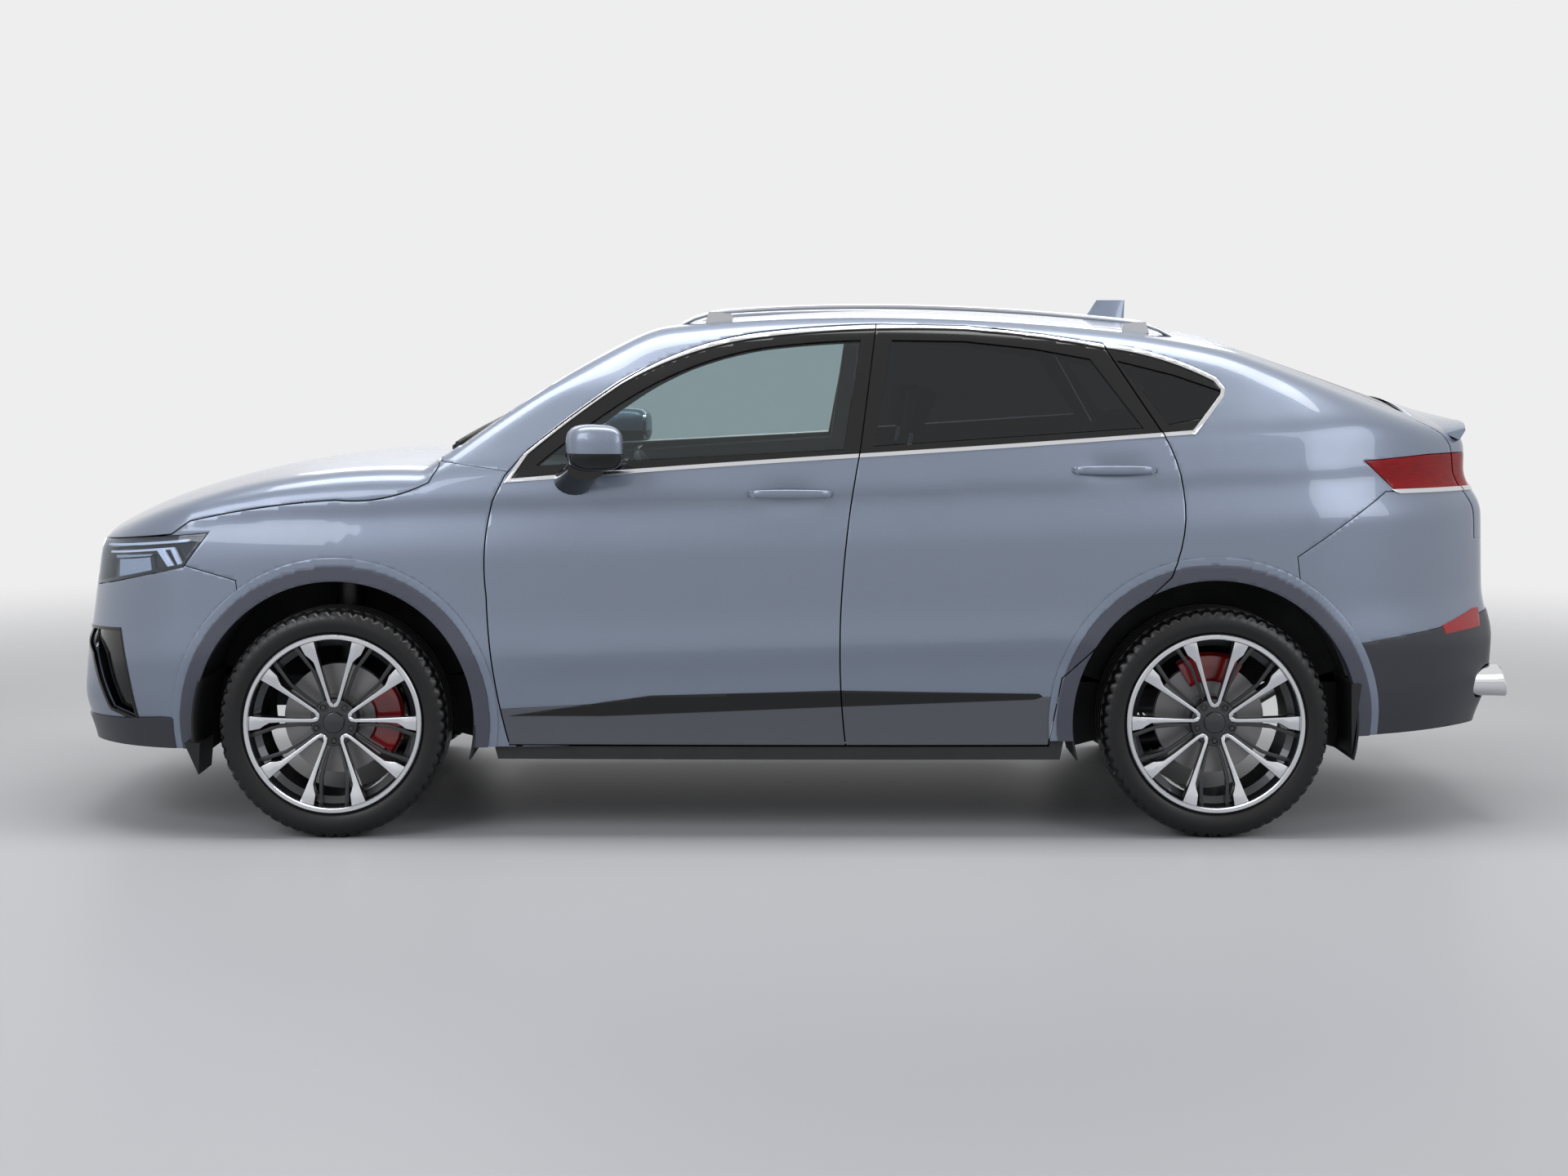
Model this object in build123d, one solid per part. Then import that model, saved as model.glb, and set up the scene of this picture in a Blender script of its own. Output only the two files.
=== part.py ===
from build123d import *
from math import cos, hypot, pi, radians, sin
import os

os.makedirs("parts", exist_ok=True)

# A five-door coupe sport utility vehicle in millimetres. +X points to the front,
# +Y to the left and +Z up. The origin is on the ground, under mid length.

# Overall sizes
WHEELBASE = 2700
FRONT_OVERHANG = 905
REAR_OVERHANG = 1000
HALF_WIDTH = 939
HEIGHT = 1643  # ground to the top of the roof rails

# Walls of the body
FRAME_WALL = 26  # window frames and pillars' outer layer
DOOR_WALL = 62  # a whole door below its window
SHELL_WALL = 30  # bonnet, roof, tailgate and bumpers
PILLAR_GAP = 6  # between a closed door and the pillar behind it
SEAM = 8  # gap between a moving panel and its neighbour
FIXED_SEAM = 3  # gap between two panels of the body
FIT = 0.3  # between pieces that sit against each other
OVERRUN = 300  # by which cutters pass what they cut

# Wheels
TYRE_RADIUS = 350
TYRE_WIDTH = 245
TYRE_SHOULDER = 28
RIM_RADIUS = 272
RIM_WIDTH = 232
RIM_WALL = 12
TRACK_HALF = 800
HUB_RADIUS = 72
SPOKE_PAIRS = 5
SPOKE_FOOT = 26  # width of a spoke at the hub
SPOKE_TIP = 46  # width of a spoke at the rim
SPOKE_SPREAD_ANGLE = 17  # between a pair's spokes at the rim
DISC_RADIUS = 170
ARCH_CLEARANCE = 82  # tyre to the edge of the front wheel opening
REAR_ARCH_CLEARANCE = 88
ARCH_TRIM = 72  # width of the moulding round a wheel opening
TRIM_STAND = 9  # by which the moulding stands proud of the skin

FRONT_AXLE_X = (WHEELBASE + REAR_OVERHANG - FRONT_OVERHANG) / 2
REAR_AXLE_X = FRONT_AXLE_X - WHEELBASE
AXLE_Z = TYRE_RADIUS


def along(share):
    """Place along the car: 0 rear axle, 1 front axle, 2 nose, -1 tail."""
    if share > 1:
        return FRONT_AXLE_X + (share - 1) * FRONT_OVERHANG
    if share < 0:
        return REAR_AXLE_X + share * REAR_OVERHANG
    return REAR_AXLE_X + share * WHEELBASE


def up(share):
    return share * HEIGHT


def across(share):
    return share * HALF_WIDTH


def save(shape, name):
    shape.label = name
    export_step(shape, f"parts/{name}.step")


def gathered(solids):
    """One solid, or several that do not touch as a compound."""
    return solids[0] if len(solids) == 1 else Compound(children=solids)


def joined(*shapes):
    return gathered([solid for shape in shapes for solid in shape.solids()])


def mirrored(shape):
    return gathered([solid.mirror(Plane.XZ) for solid in shape.solids()])


def both(shape):
    return joined(shape, mirrored(shape))


def box(x_from, x_to, y_from, y_to, z_from, z_to):
    return Pos((x_from + x_to) / 2, (y_from + y_to) / 2, (z_from + z_to) / 2) * Box(
        abs(x_to - x_from), abs(y_to - y_from), abs(z_to - z_from))


FLATTEST_ARC_SHARE = 0.0005  # rise of an arc to its run, under which it is a line


def span(start, middle, end):
    """An arc through three points, or a line where they lie almost in line."""
    start, middle, end = Vector(start), Vector(middle), Vector(end)
    run = end - start
    rise = (middle - start).cross(run).length / run.length
    if rise < run.length * FLATTEST_ARC_SHARE:
        return Edge.make_line(start, end)
    return Edge.make_three_point_arc(start, middle, end)


# Side rows of the body, from the sill to the roof. Columns: height at the front axle and
# at the rear axle, half width at the front corner, mid length and rear corner, setback
# of the nose and of the tail.
ROW_SHARES = [
    (0.164, 0.183, 0.885, 0.950, 0.930, 0.050, 0.060),
    (0.243, 0.256, 0.905, 0.968, 0.955, 0.000, 0.012),
    (0.335, 0.359, 0.918, 0.977, 0.964, 0.012, 0.000),
    (0.400, 0.425, 0.912, 0.966, 0.958, 0.030, 0.030),
    (0.560, 0.600, 0.905, 0.961, 0.955, 0.062, 0.032),
    (0.625, 0.650, 0.880, 0.945, 0.938, 0.100, 0.082),
    (0.668, 0.752, 0.852, 0.918, 0.900, 0.150, 0.078),
    (0.830, 0.862, 0.560, 0.800, 0.752, 0.500, 0.100),
    (0.990, 0.990, 0.240, 0.619, 0.600, 0.900, 0.120),
]
# Plan of a row: corner places along the car and their shares of the corner's half width
FRONT_CORNER_SHARE = 1.555
SIDE_MIDDLE_SHARE = 0.594
REAR_CORNER_SHARE = -0.35
NOSE_PLAN_SHARES = [(1.931, 0.684), (1.80, 0.870)]
TAIL_PLAN_SHARES = [(-0.935, 0.652), (-0.76, 0.834)]


def side_row(row, inset, drop=0):
    """A closed plan curve of eight arcs in the row's tilted plane."""
    front_up, rear_up, front_wide, middle_wide, rear_wide, nose_set, tail_set = row
    nose_move = nose_set * FRONT_OVERHANG + inset
    tail_move = tail_set * REAR_OVERHANG + inset

    def point(share, wide, move):
        x = along(share) + move
        rise = front_up + (front_up - rear_up) * (x - FRONT_AXLE_X) / WHEELBASE
        return Vector(x, wide, up(rise) - drop)

    def wide(share, part=1):
        return (across(share) - inset) * part

    (end_f, end_f_part), (mid_f, mid_f_part) = NOSE_PLAN_SHARES
    (end_r, end_r_part), (mid_r, mid_r_part) = TAIL_PLAN_SHARES
    half = [
        point(2, 0, -nose_move),
        point(end_f, wide(front_wide, end_f_part), -nose_move),
        point(mid_f, wide(front_wide, mid_f_part), -nose_move),
        point(FRONT_CORNER_SHARE, wide(front_wide), -nose_move / 2),
        point(SIDE_MIDDLE_SHARE, wide(middle_wide), 0),
        point(REAR_CORNER_SHARE, wide(rear_wide), tail_move / 2),
        point(mid_r, wide(rear_wide, mid_r_part), tail_move),
        point(end_r, wide(rear_wide, end_r_part), tail_move),
        point(-1, 0, tail_move),
    ]
    other = [Vector(p.X, -p.Y, p.Z) for p in half]
    edges = [span(other[1], half[0], half[1])]
    edges += [span(*half[i:i + 3]) for i in (1, 3, 5)]
    edges += [span(half[7], half[8], other[7])]
    edges += [span(other[i + 2], other[i + 1], other[i]) for i in (5, 3, 1)]
    return Wire(edges)


def side_loft(inset=0):
    rows = [side_row(ROW_SHARES[0], inset, OVERRUN if inset > 0 else 0)]
    rows += [side_row(row, inset) for row in ROW_SHARES[1:]]
    return Solid.make_loft(rows, ruled=True)


# Length profile over the bonnet, windscreen, roof, rear window and spoiler. Columns: place
# along the car and height at the middle, setback and drop at the crown's edge. Odd rows end
# an arc, even rows lie on it.
PROFILE_SHARES = [
    (2.070, 0.510, 0.160, 0.020),
    (1.990, 0.536, 0.160, 0.020),
    (1.931, 0.551, 0.160, 0.020),
    (1.800, 0.590, 0.120, 0.024),
    (1.674, 0.619, 0.080, 0.026),
    (1.400, 0.662, 0.020, 0.028),
    (0.885, 0.704, -0.075, 0.030),
    (0.765, 0.842, -0.082, 0.030),
    (0.630, 0.9586, -0.090, 0.020),
    (0.390, 0.9872, -0.040, 0.034),
    (0.131, 0.971, 0.000, 0.048),
    (0.045, 0.958, 0.000, 0.058),
    (-0.100, 0.936, 0.030, 0.063),
    (-0.500, 0.852, 0.080, 0.062),
    (-0.9225, 0.7565, 0.200, 0.050),
    (-0.935, 0.748, 0.200, 0.050),
    (-1.100, 0.700, 0.200, 0.050),
]
CROWN_EDGE_SHARE = 1.00
SETBACK_SPLIT_SHARE = 0.3  # ahead of it setbacks are parts of the front overhang


def inset_outline(points, inset):
    """Open outline in the XZ plane, moved to its right by the inset."""
    moved = []
    for i, (x, z) in enumerate(points):
        x0, z0 = points[max(i - 1, 0)]
        x1, z1 = points[min(i + 1, len(points) - 1)]
        length = hypot(x1 - x0, z1 - z0)
        moved.append((x - inset * (z1 - z0) / length, z + inset * (x1 - x0) / length))
    return moved


def profile_wire(inset, edge):
    """The closed length profile at the middle (edge 0) or at the crown's edge (edge 1)."""
    points = [(along(x) - edge * back * FRONT_OVERHANG if x > SETBACK_SPLIT_SHARE
               else along(x) + edge * back * REAR_OVERHANG, up(z - edge * drop))
              for x, z, back, drop in PROFILE_SHARES]
    points = inset_outline(points, inset)
    y = edge * across(CROWN_EDGE_SHARE)
    points = [Vector(x, y, z) for x, z in points]
    edges = [span(*points[i:i + 3]) for i in range(0, len(points) - 2, 2)]
    front, rear = points[0], points[-1]
    front_low = Vector(front.X, y, -OVERRUN)
    rear_low = Vector(rear.X, y, -OVERRUN)
    edges += [Edge.make_line(rear, rear_low), Edge.make_line(rear_low, front_low),
              Edge.make_line(front_low, front)]
    return edges


def crowned_profile(inset=0):
    left = Wire(profile_wire(inset, 1))
    middle = Wire(profile_wire(inset, 0))
    return Solid.make_loft([left.mirror(Plane.XZ), middle, left])


def body(inset=0):
    return side_loft(inset) & crowned_profile(inset)


cores = {}


def core(inset):
    """The body moved inwards by the inset, made once."""
    if inset not in cores:
        cores[inset] = body(inset)
    return cores[inset]


def wall(region, far, near=0):
    """The region's part of the wall between two insets of the body."""
    return (region & core(near)) - core(far)


MITRE_SHARE = 0.5  # the least cosine that a grown corner is drawn with


def outline(points, grow=0):
    """Closed XZ outline of (along, up) shares, grown outwards. A third value of 1 marks a
    point that lies on the arc between its neighbours."""
    flat = [(along(p[0]), up(p[1])) for p in points]
    count = len(flat)
    turn = sum(flat[i - 1][0] * flat[i][1] - flat[i][0] * flat[i - 1][1] for i in range(count))
    side = 1 if turn > 0 else -1
    moved = []
    for i, (x, z) in enumerate(flat):
        (x0, z0), (x1, z1) = flat[i - 1], flat[(i + 1) % count]
        before = Vector(x - x0, 0, z - z0).normalized()
        after = Vector(x1 - x, 0, z1 - z).normalized()
        mean = (before + after).normalized()
        reach = side * grow / max(mean.dot(after), MITRE_SHARE)
        moved.append(Vector(x + reach * mean.Z, 0, z - reach * mean.X))
    on_arc = [len(p) > 2 for p in points]
    edges = []
    for i in range(count):
        if on_arc[i]:
            edges.append(span(moved[i - 1], moved[i], moved[(i + 1) % count]))
        elif not on_arc[(i + 1) % count]:
            edges.append(Edge.make_line(moved[i], moved[(i + 1) % count]))
    return Wire(edges)


def side_prism(points, grow=0, y_from=0, y_to=HALF_WIDTH + OVERRUN):
    """The outline drawn out to the left, from one distance off the middle to another."""
    face = Face(outline(points, grow)).moved(Pos(0, y_from, 0))
    return Solid.extrude(face, Vector(0, y_to - y_from, 0))


def wide_prism(points, grow=0):
    reach = HALF_WIDTH + OVERRUN
    return side_prism(points, grow, -reach, reach)


def end_prism(points, x_from, x_to):
    """A YZ outline of (across, up) shares, mirrored about the middle and drawn along X."""
    half = [Vector(x_from, across(y), up(z)) for y, z in points]
    wire = Wire.make_polygon(half + [Vector(p.X, -p.Y, p.Z) for p in reversed(half)], close=True)
    return Solid.extrude(Face(wire), Vector(x_to - x_from, 0, 0))


def rod(radius, start, end):
    """A round bar between two points."""
    start, end = Vector(start), Vector(end)
    return Solid.make_cylinder(radius, (end - start).length, Plane(start, z_dir=end - start))


def tube(radius, bore, start, end):
    return rod(radius, start, end) - rod(bore, start, end)


# Seams of the body in the side view, as shares along the car and up
FRONT_DOOR_SHARES = [
    (0.800, 0.172), (0.8185, 0.315, 1), (0.826, 0.450), (0.828, 0.540, 1), (0.820, 0.625),
    (0.8065, 0.672), (0.786, 0.712), (0.730, 0.784, 1), (0.677, 0.845), (0.596, 0.909, 1),
    (0.515, 0.941), (0.450, 0.951, 1), (0.3815, 0.956), (0.403, 0.718),
    (0.4165, 0.586, 1), (0.4245, 0.450), (0.4265, 0.330, 1), (0.420, 0.172)]
REAR_DOOR_SHARES = [
    (0.460, 0.172), (0.460, 0.600), (0.3815, 0.956), (0.279, 0.953), (0.190, 0.937),
    (0.1185, 0.918), (0.057, 0.751), (0.037, 0.660, 1), (0.051, 0.486), (0.175, 0.299),
    (0.190, 0.172)]
FRONT_WINDOW_SHARES = [
    (0.772, 0.692), (0.718, 0.762, 1), (0.668, 0.818), (0.588, 0.882, 1), (0.512, 0.914),
    (0.450, 0.924, 1), (0.399, 0.928), (0.4205, 0.722)]
REAR_WINDOW_SHARES = [
    (0.3865, 0.728), (0.363, 0.928), (0.279, 0.926), (0.200, 0.912), (0.134, 0.892),
    (0.078, 0.762)]
QUARTER_WINDOW_SHARES = [
    (0.0485, 0.768), (0.103, 0.889), (0.038, 0.862), (-0.040, 0.832), (-0.075, 0.815),
    (-0.020, 0.786)]
BELT_SHARES = [(0.900, 0.673), (0.582, 0.701), (0.404, 0.718), (-0.150, 0.768)]
BELOW_SHARES = [(-0.150, 0.050), (0.900, 0.050)]
ABOVE_SHARES = [(-0.150, 1.100), (0.900, 1.100)]
BONNET_STOP_SHARE = 1.150
BONNET_SHARES = [
    (0.885, 0.800), (0.885, 0.690), (0.895, 0.661), (0.930, 0.638, 1), (1.000, 0.628),
    (1.300, 0.610, 1), (1.502, 0.588), (1.566, 0.563), (1.856, 0.545), (2.300, 0.540),
    (2.300, 0.800)]
HEADLAMP_SHARES = [
    (1.438, 0.564), (1.856, 0.545), (2.300, 0.541), (2.300, 0.452), (1.885, 0.456),
    (1.519, 0.502)]
FENDER_SHARES = [
    (0.785, 0.100), (1.650, 0.100), (1.650, 0.620), (0.890, 0.700), (0.795, 0.678)]
FRONT_BUMPER_SHARES = [
    (1.519, 0.504), (1.339, 0.476), (1.250, 0.100), (2.300, 0.100), (2.300, 0.560),
    (1.600, 0.560)]
REAR_BUMPER_SHARES = [
    (-0.253, 0.522), (-0.542, 0.641), (-1.200, 0.641), (-1.200, 0.100), (-0.330, 0.100)]
TAIL_LAMP_SHARES = [
    (-0.476, 0.699), (-0.700, 0.708), (-1.200, 0.712), (-1.200, 0.644), (-0.580, 0.642)]
# Lower dark parts of the bumpers, below a line on the side view
FRONT_VALANCE_SHARES = [
    (1.300, 0.210), (1.600, 0.219), (1.900, 0.205), (2.300, 0.205), (2.300, 0.050),
    (1.300, 0.050)]
REAR_VALANCE_SHARES = [
    (-0.330, 0.351), (-0.722, 0.383), (-0.914, 0.405), (-1.200, 0.405), (-1.200, 0.050),
    (-0.330, 0.050)]
SILL_SHARES = [(0.060, 0.172), (0.830, 0.172), (0.830, 0.262), (0.060, 0.262)]
CENTRE_PILLAR_SHARES = [
    (0.345, 0.172), (0.345, 0.262), (0.385, 0.330), (0.388, 0.700), (0.364, 0.962),
    (0.398, 0.962), (0.418, 0.700), (0.452, 0.600), (0.460, 0.330), (0.500, 0.262),
    (0.500, 0.172)]
FRONT_POST_SHARES = [(0.790, 0.172), (0.865, 0.172), (0.880, 0.680), (0.800, 0.680)]
REAR_POST_SHARES = [(0.095, 0.172), (0.150, 0.262), (0.010, 0.440), (0.010, 0.745),
                    (0.075, 0.745), (0.090, 0.480), (0.190, 0.262), (0.190, 0.172)]

# Ends of the body, as shares across and up
GRILLE_SHARES = [(0.470, 0.532), (0.500, 0.470), (0.380, 0.395)]
INTAKE_SHARES = [(0.520, 0.325), (0.440, 0.225)]
WINDSCREEN_SHARES = [(0.860, 0.640), (0.845, 0.700), (0.700, 0.850), (0.580, 0.940)]
TAILGATE_SHARES = [(0.665, 0.545), (0.665, 0.757), (0.555, 0.990)]
REAR_WINDOW_TOP_SHARE = -0.125
REAR_WINDOW_FOOT_SHARE = -0.690
REAR_WINDOW_WIDE_SHARES = [(0.590, 0.800), (0.520, 0.935)]
TAILGATE_HINGE_SHARE = -0.075
WINDSCREEN_FOOT_SHARE = 0.862
WINDSCREEN_HEAD_SHARE = 0.550
ROOF_FRONT_SHARE = 0.680
LAMP_INNER_SHARE = 0.520
TAIL_LAMP_INNER_SHARE = 0.330

GLASS_DEPTH = 7
GLASS_THICK = 5
PILLAR_DEPTH = FRAME_WALL + PILLAR_GAP
POST_DEPTH = DOOR_WALL + PILLAR_GAP
STOP_LENGTH, STOP_INSET = 40, 8  # rubber stop that the closed bonnet rests on
JAMB_WIDTH = 40
POST_WALL = 36
DOOR_FLANGE = 20
LAMP_DEPTH = 70
TAILGATE_FOOT_SHARE = 0.6
CABIN_LOW_SHARE = 0.6  # lower end of the blocks that cut the windows and the roof
ROOF_LOW_SHARE = 0.8
GRILLE_BACK_SHARE = 1.6
GRILLE_DEPTH = 20
GRILLE_THICK = 16
GRILLE_FRAME = 16
SLAT_PITCH = 46
SLAT_HEIGHT = 9
UPRIGHT_PITCH = 150
UPRIGHTS = 2
TIP_RADIUS = 46
TIP_GAP = 8
TIP_UP_SHARE = 0.269
TIP_END_SHARE = -0.955
PIPE_HOLE_SHARE = -0.5
TIP_ACROSS_SHARES = (0.511, 0.639)
COWL_WIDE_SHARE = 0.80
ROOF_WIDE_SHARE = 0.56
SIDE_FROM_SHARE = 0.40
BODY_EDGE = HALF_WIDTH + OVERRUN
BODY_REACH = WHEELBASE + FRONT_OVERHANG + REAR_OVERHANG


def half_space(y_from, y_to):
    return box(-BODY_REACH, BODY_REACH, y_from, y_to, -OVERRUN, HEIGHT + OVERRUN)


def wheel_prism(axle_x, radius, y_from, y_to):
    return Solid.make_cylinder(radius, y_to - y_from,
                               Plane((axle_x, y_from, AXLE_Z), z_dir=(0, 1, 0)))


FRONT_ARCH = TYRE_RADIUS + ARCH_CLEARANCE
REAR_ARCH = TYRE_RADIUS + REAR_ARCH_CLEARANCE
arches = [wheel_prism(x, radius, -BODY_EDGE, BODY_EDGE)
          for x, radius in ((FRONT_AXLE_X, FRONT_ARCH), (REAR_AXLE_X, REAR_ARCH))]
arch_cores = [wheel_prism(x, radius + ARCH_TRIM, -BODY_EDGE, BODY_EDGE)
              for x, radius in ((FRONT_AXLE_X, FRONT_ARCH), (REAR_AXLE_X, REAR_ARCH))]

below_belt = side_prism(BELT_SHARES + BELOW_SHARES)
above_belt = side_prism(BELT_SHARES + ABOVE_SHARES)

# Regions that the panels take, the moving ones grown by their seam
front_door_hole = side_prism(FRONT_DOOR_SHARES, SEAM)
rear_door_hole = side_prism(REAR_DOOR_SHARES, SEAM)
bonnet_hole = wide_prism(BONNET_SHARES, SEAM)
tailgate_x = along(TAILGATE_HINGE_SHARE)
tailgate_block = end_prism(TAILGATE_SHARES, tailgate_x, -BODY_REACH)
tailgate_hole = end_prism([(y + SEAM / HALF_WIDTH, z) for y, z in TAILGATE_SHARES],
                          tailgate_x + SEAM, -BODY_REACH)
tailgate_hole += box(-BODY_REACH, tailgate_x, -across(TAILGATE_FOOT_SHARE),
                     across(TAILGATE_FOOT_SHARE), up(TAILGATE_SHARES[0][1]) - SEAM,
                     up(CABIN_LOW_SHARE))

# Doors on the left: outer wall with the window frame, and the inner box below the belt
door_tables = {"front": (FRONT_DOOR_SHARES, FRONT_WINDOW_SHARES, None),
               "rear": (REAR_DOOR_SHARES, REAR_WINDOW_SHARES, front_door_hole)}
doors, door_glasses = {}, {}
for place, (outline_shares, window_shares, neighbour) in door_tables.items():
    window = side_prism(window_shares)
    skin = wall(side_prism(outline_shares) - window, FRAME_WALL)
    lining = wall(side_prism(outline_shares, -DOOR_FLANGE) & below_belt, DOOR_WALL, FRAME_WALL)
    if neighbour is not None:
        skin = skin - neighbour
        lining = lining - side_prism(FRONT_DOOR_SHARES, SEAM + DOOR_FLANGE)
    doors[place] = (skin + lining) - arch_cores
    door_glasses[place] = wall(window, GLASS_DEPTH + GLASS_THICK, GLASS_DEPTH)

# Bonnet, fenders, lamps and bumpers
def lamp(shares, inner, depth):
    """A lamp with a flange behind its seam that seats in the panels' opening."""
    lens = wall(side_prism(shares, 0, inner), depth)
    flange_prism = side_prism(shares, FIXED_SEAM - FIT, inner - FIXED_SEAM + FIT)
    return lens + wall(flange_prism, SHELL_WALL, FRAME_WALL)


bonnet = wall(wide_prism(BONNET_SHARES), SHELL_WALL)
lamp_inner = across(LAMP_INNER_SHARE)
headlamp_hole = side_prism(HEADLAMP_SHARES, FIXED_SEAM, lamp_inner - FIXED_SEAM)
headlamp = lamp(HEADLAMP_SHARES, lamp_inner, LAMP_DEPTH) - bonnet_hole
tail_inner = across(TAIL_LAMP_INNER_SHARE)
tail_lamp_hole = side_prism(TAIL_LAMP_SHARES, FIXED_SEAM, tail_inner - FIXED_SEAM)
tail_lamp_block = lamp(TAIL_LAMP_SHARES, tail_inner, SHELL_WALL)
tail_lamp = tail_lamp_block - tailgate_hole
tailgate_lamp = tail_lamp_block & tailgate_block
nose_x = along(GRILLE_BACK_SHARE)
grille_hole = end_prism(GRILLE_SHARES, nose_x, BODY_REACH)
intake_hole = end_prism(INTAKE_SHARES, nose_x, BODY_REACH)

fender = side_prism(FENDER_SHARES, 0, across(COWL_WIDE_SHARE) + FIXED_SEAM) - [
    front_door_hole, bonnet_hole, headlamp_hole, arch_cores[0],
    side_prism(FRONT_BUMPER_SHARES, FIXED_SEAM)]
fender = wall(fender, PILLAR_DEPTH - FIT)
stop_x = along(BONNET_STOP_SHARE)
stop_band = bonnet_hole & box(stop_x, stop_x + STOP_LENGTH, 0, BODY_EDGE, 0, HEIGHT)
stop = wall(stop_band - wide_prism(BONNET_SHARES, FIT), FRAME_WALL, STOP_INSET)
fender = fender + stop
front_fascia = wall(wide_prism(FRONT_BUMPER_SHARES) - [
    bonnet_hole, headlamp_hole, mirrored(headlamp_hole), grille_hole, intake_hole,
    arch_cores[0]], SHELL_WALL)
front_valance_block = wide_prism(FRONT_VALANCE_SHARES)
front_bumper = front_fascia - front_valance_block
front_valance = front_fascia & front_valance_block
pipe_hole_x = along(PIPE_HOLE_SHARE)
pipe_holes = [rod(TIP_RADIUS + TIP_GAP, (pipe_hole_x, side * y, up(TIP_UP_SHARE)),
                  (-BODY_REACH, side * y, up(TIP_UP_SHARE)))
              for y in (across(share) for share in TIP_ACROSS_SHARES) for side in (-1, 1)]
rear_fascia = wall(wide_prism(REAR_BUMPER_SHARES) - [
    tailgate_hole, tail_lamp_hole, mirrored(tail_lamp_hole), arch_cores[1], *pipe_holes],
    SHELL_WALL)
rear_valance_block = wide_prism(REAR_VALANCE_SHARES)
rear_bumper = rear_fascia - rear_valance_block
rear_valance = rear_fascia & rear_valance_block

# Grille: a frame with slats and uprights that follow the nose
def grille_insert(shares):
    """The frame and bars that fill an opening of the nose."""
    hole = end_prism(shares, nose_x, BODY_REACH)
    rises = [-1] + [0] * (len(shares) - 2) + [1]
    inner = end_prism([(y - GRILLE_FRAME / HALF_WIDTH, z + (GRILLE_FRAME / HEIGHT) * rise)
                       for (y, z), rise in zip(shares, rises)], nose_x, BODY_REACH)
    low, high = up(shares[-1][1]), up(shares[0][1])
    slats = [box(nose_x, BODY_REACH, -BODY_EDGE, BODY_EDGE, z, z + SLAT_HEIGHT)
             for z in (low + SLAT_PITCH * (i + 1) for i in range(int((high - low) / SLAT_PITCH)))]
    uprights = [box(nose_x, BODY_REACH, y - SLAT_HEIGHT / 2, y + SLAT_HEIGHT / 2, low, high)
                for y in (UPRIGHT_PITCH * i for i in range(-UPRIGHTS, UPRIGHTS + 1))]
    region = (hole - inner) + [bar & hole for bar in slats + uprights]
    return wall(region, GRILLE_DEPTH + GRILLE_THICK, GRILLE_DEPTH)


grille = joined(grille_insert(GRILLE_SHARES), grille_insert(INTAKE_SHARES))

# Tailgate with its spoiler, and its window
rear_glass_prism = Solid.extrude(Face(Wire.make_polygon(
    [(along(REAR_WINDOW_TOP_SHARE), across(REAR_WINDOW_WIDE_SHARES[1][0]), 0),
     (along(REAR_WINDOW_FOOT_SHARE), across(REAR_WINDOW_WIDE_SHARES[0][0]), 0),
     (along(REAR_WINDOW_FOOT_SHARE), -across(REAR_WINDOW_WIDE_SHARES[0][0]), 0),
     (along(REAR_WINDOW_TOP_SHARE), -across(REAR_WINDOW_WIDE_SHARES[1][0]), 0)],
    close=True)), Vector(0, 0, HEIGHT + OVERRUN))
rear_glass_prism = rear_glass_prism & box(-BODY_REACH, BODY_REACH, -BODY_EDGE, BODY_EDGE,
                                          up(TAILGATE_SHARES[1][1]) + SEAM, HEIGHT + OVERRUN)
tailgate = wall(tailgate_block - [
    rear_glass_prism, tail_lamp_hole, mirrored(tail_lamp_hole)], SHELL_WALL)
tailgate_glass = wall(rear_glass_prism, GLASS_DEPTH + GLASS_THICK, GLASS_DEPTH)

# Windscreen, cowl, roof and the body sides with their pillars and sills
windscreen_prism = end_prism(WINDSCREEN_SHARES, along(WINDSCREEN_HEAD_SHARE),
                             along(WINDSCREEN_FOOT_SHARE))
screen_x, cowl_x = along(WINDSCREEN_FOOT_SHARE), along(BONNET_SHARES[0][0]) - SEAM
windscreen = wall(windscreen_prism, GLASS_DEPTH + GLASS_THICK, GLASS_DEPTH)
cowl_block = box(screen_x, cowl_x, -across(COWL_WIDE_SHARE), across(COWL_WIDE_SHARE),
                 up(CABIN_LOW_SHARE), HEIGHT)
cowl = wall(cowl_block, SHELL_WALL)
roof_block = box(along(TAILGATE_HINGE_SHARE) + SEAM, along(ROOF_FRONT_SHARE),
                 -across(ROOF_WIDE_SHARE), across(ROOF_WIDE_SHARE), up(ROOF_LOW_SHARE),
                 HEIGHT + OVERRUN) - windscreen_prism
roof = wall(roof_block, SHELL_WALL)
quarter_window = side_prism(QUARTER_WINDOW_SHARES)
quarter_glass = wall(quarter_window, GLASS_DEPTH + GLASS_THICK, GLASS_DEPTH)
fender_block = side_prism(FENDER_SHARES, FIXED_SEAM)
side_block = box(-BODY_REACH, cowl_x, across(SIDE_FROM_SHARE), BODY_EDGE, 0,
                 HEIGHT + OVERRUN) - [
    fender_block, front_door_hole, rear_door_hole, tailgate_hole, tail_lamp_hole,
    side_prism(REAR_BUMPER_SHARES, FIXED_SEAM), arch_cores[1], windscreen_prism, cowl_block,
    roof_block, quarter_window]
side_shell = wall(side_block, PILLAR_DEPTH)
jamb_blocks = (side_prism(FRONT_DOOR_SHARES, SEAM + JAMB_WIDTH)
               + side_prism(REAR_DOOR_SHARES, SEAM + JAMB_WIDTH)) - [
    front_door_hole, rear_door_hole, arches[1], quarter_window, windscreen_prism]
pillar_head = side_prism(CENTRE_PILLAR_SHARES) & above_belt
jambs = wall(jamb_blocks + pillar_head, POST_DEPTH + POST_WALL, PILLAR_DEPTH)
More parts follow.
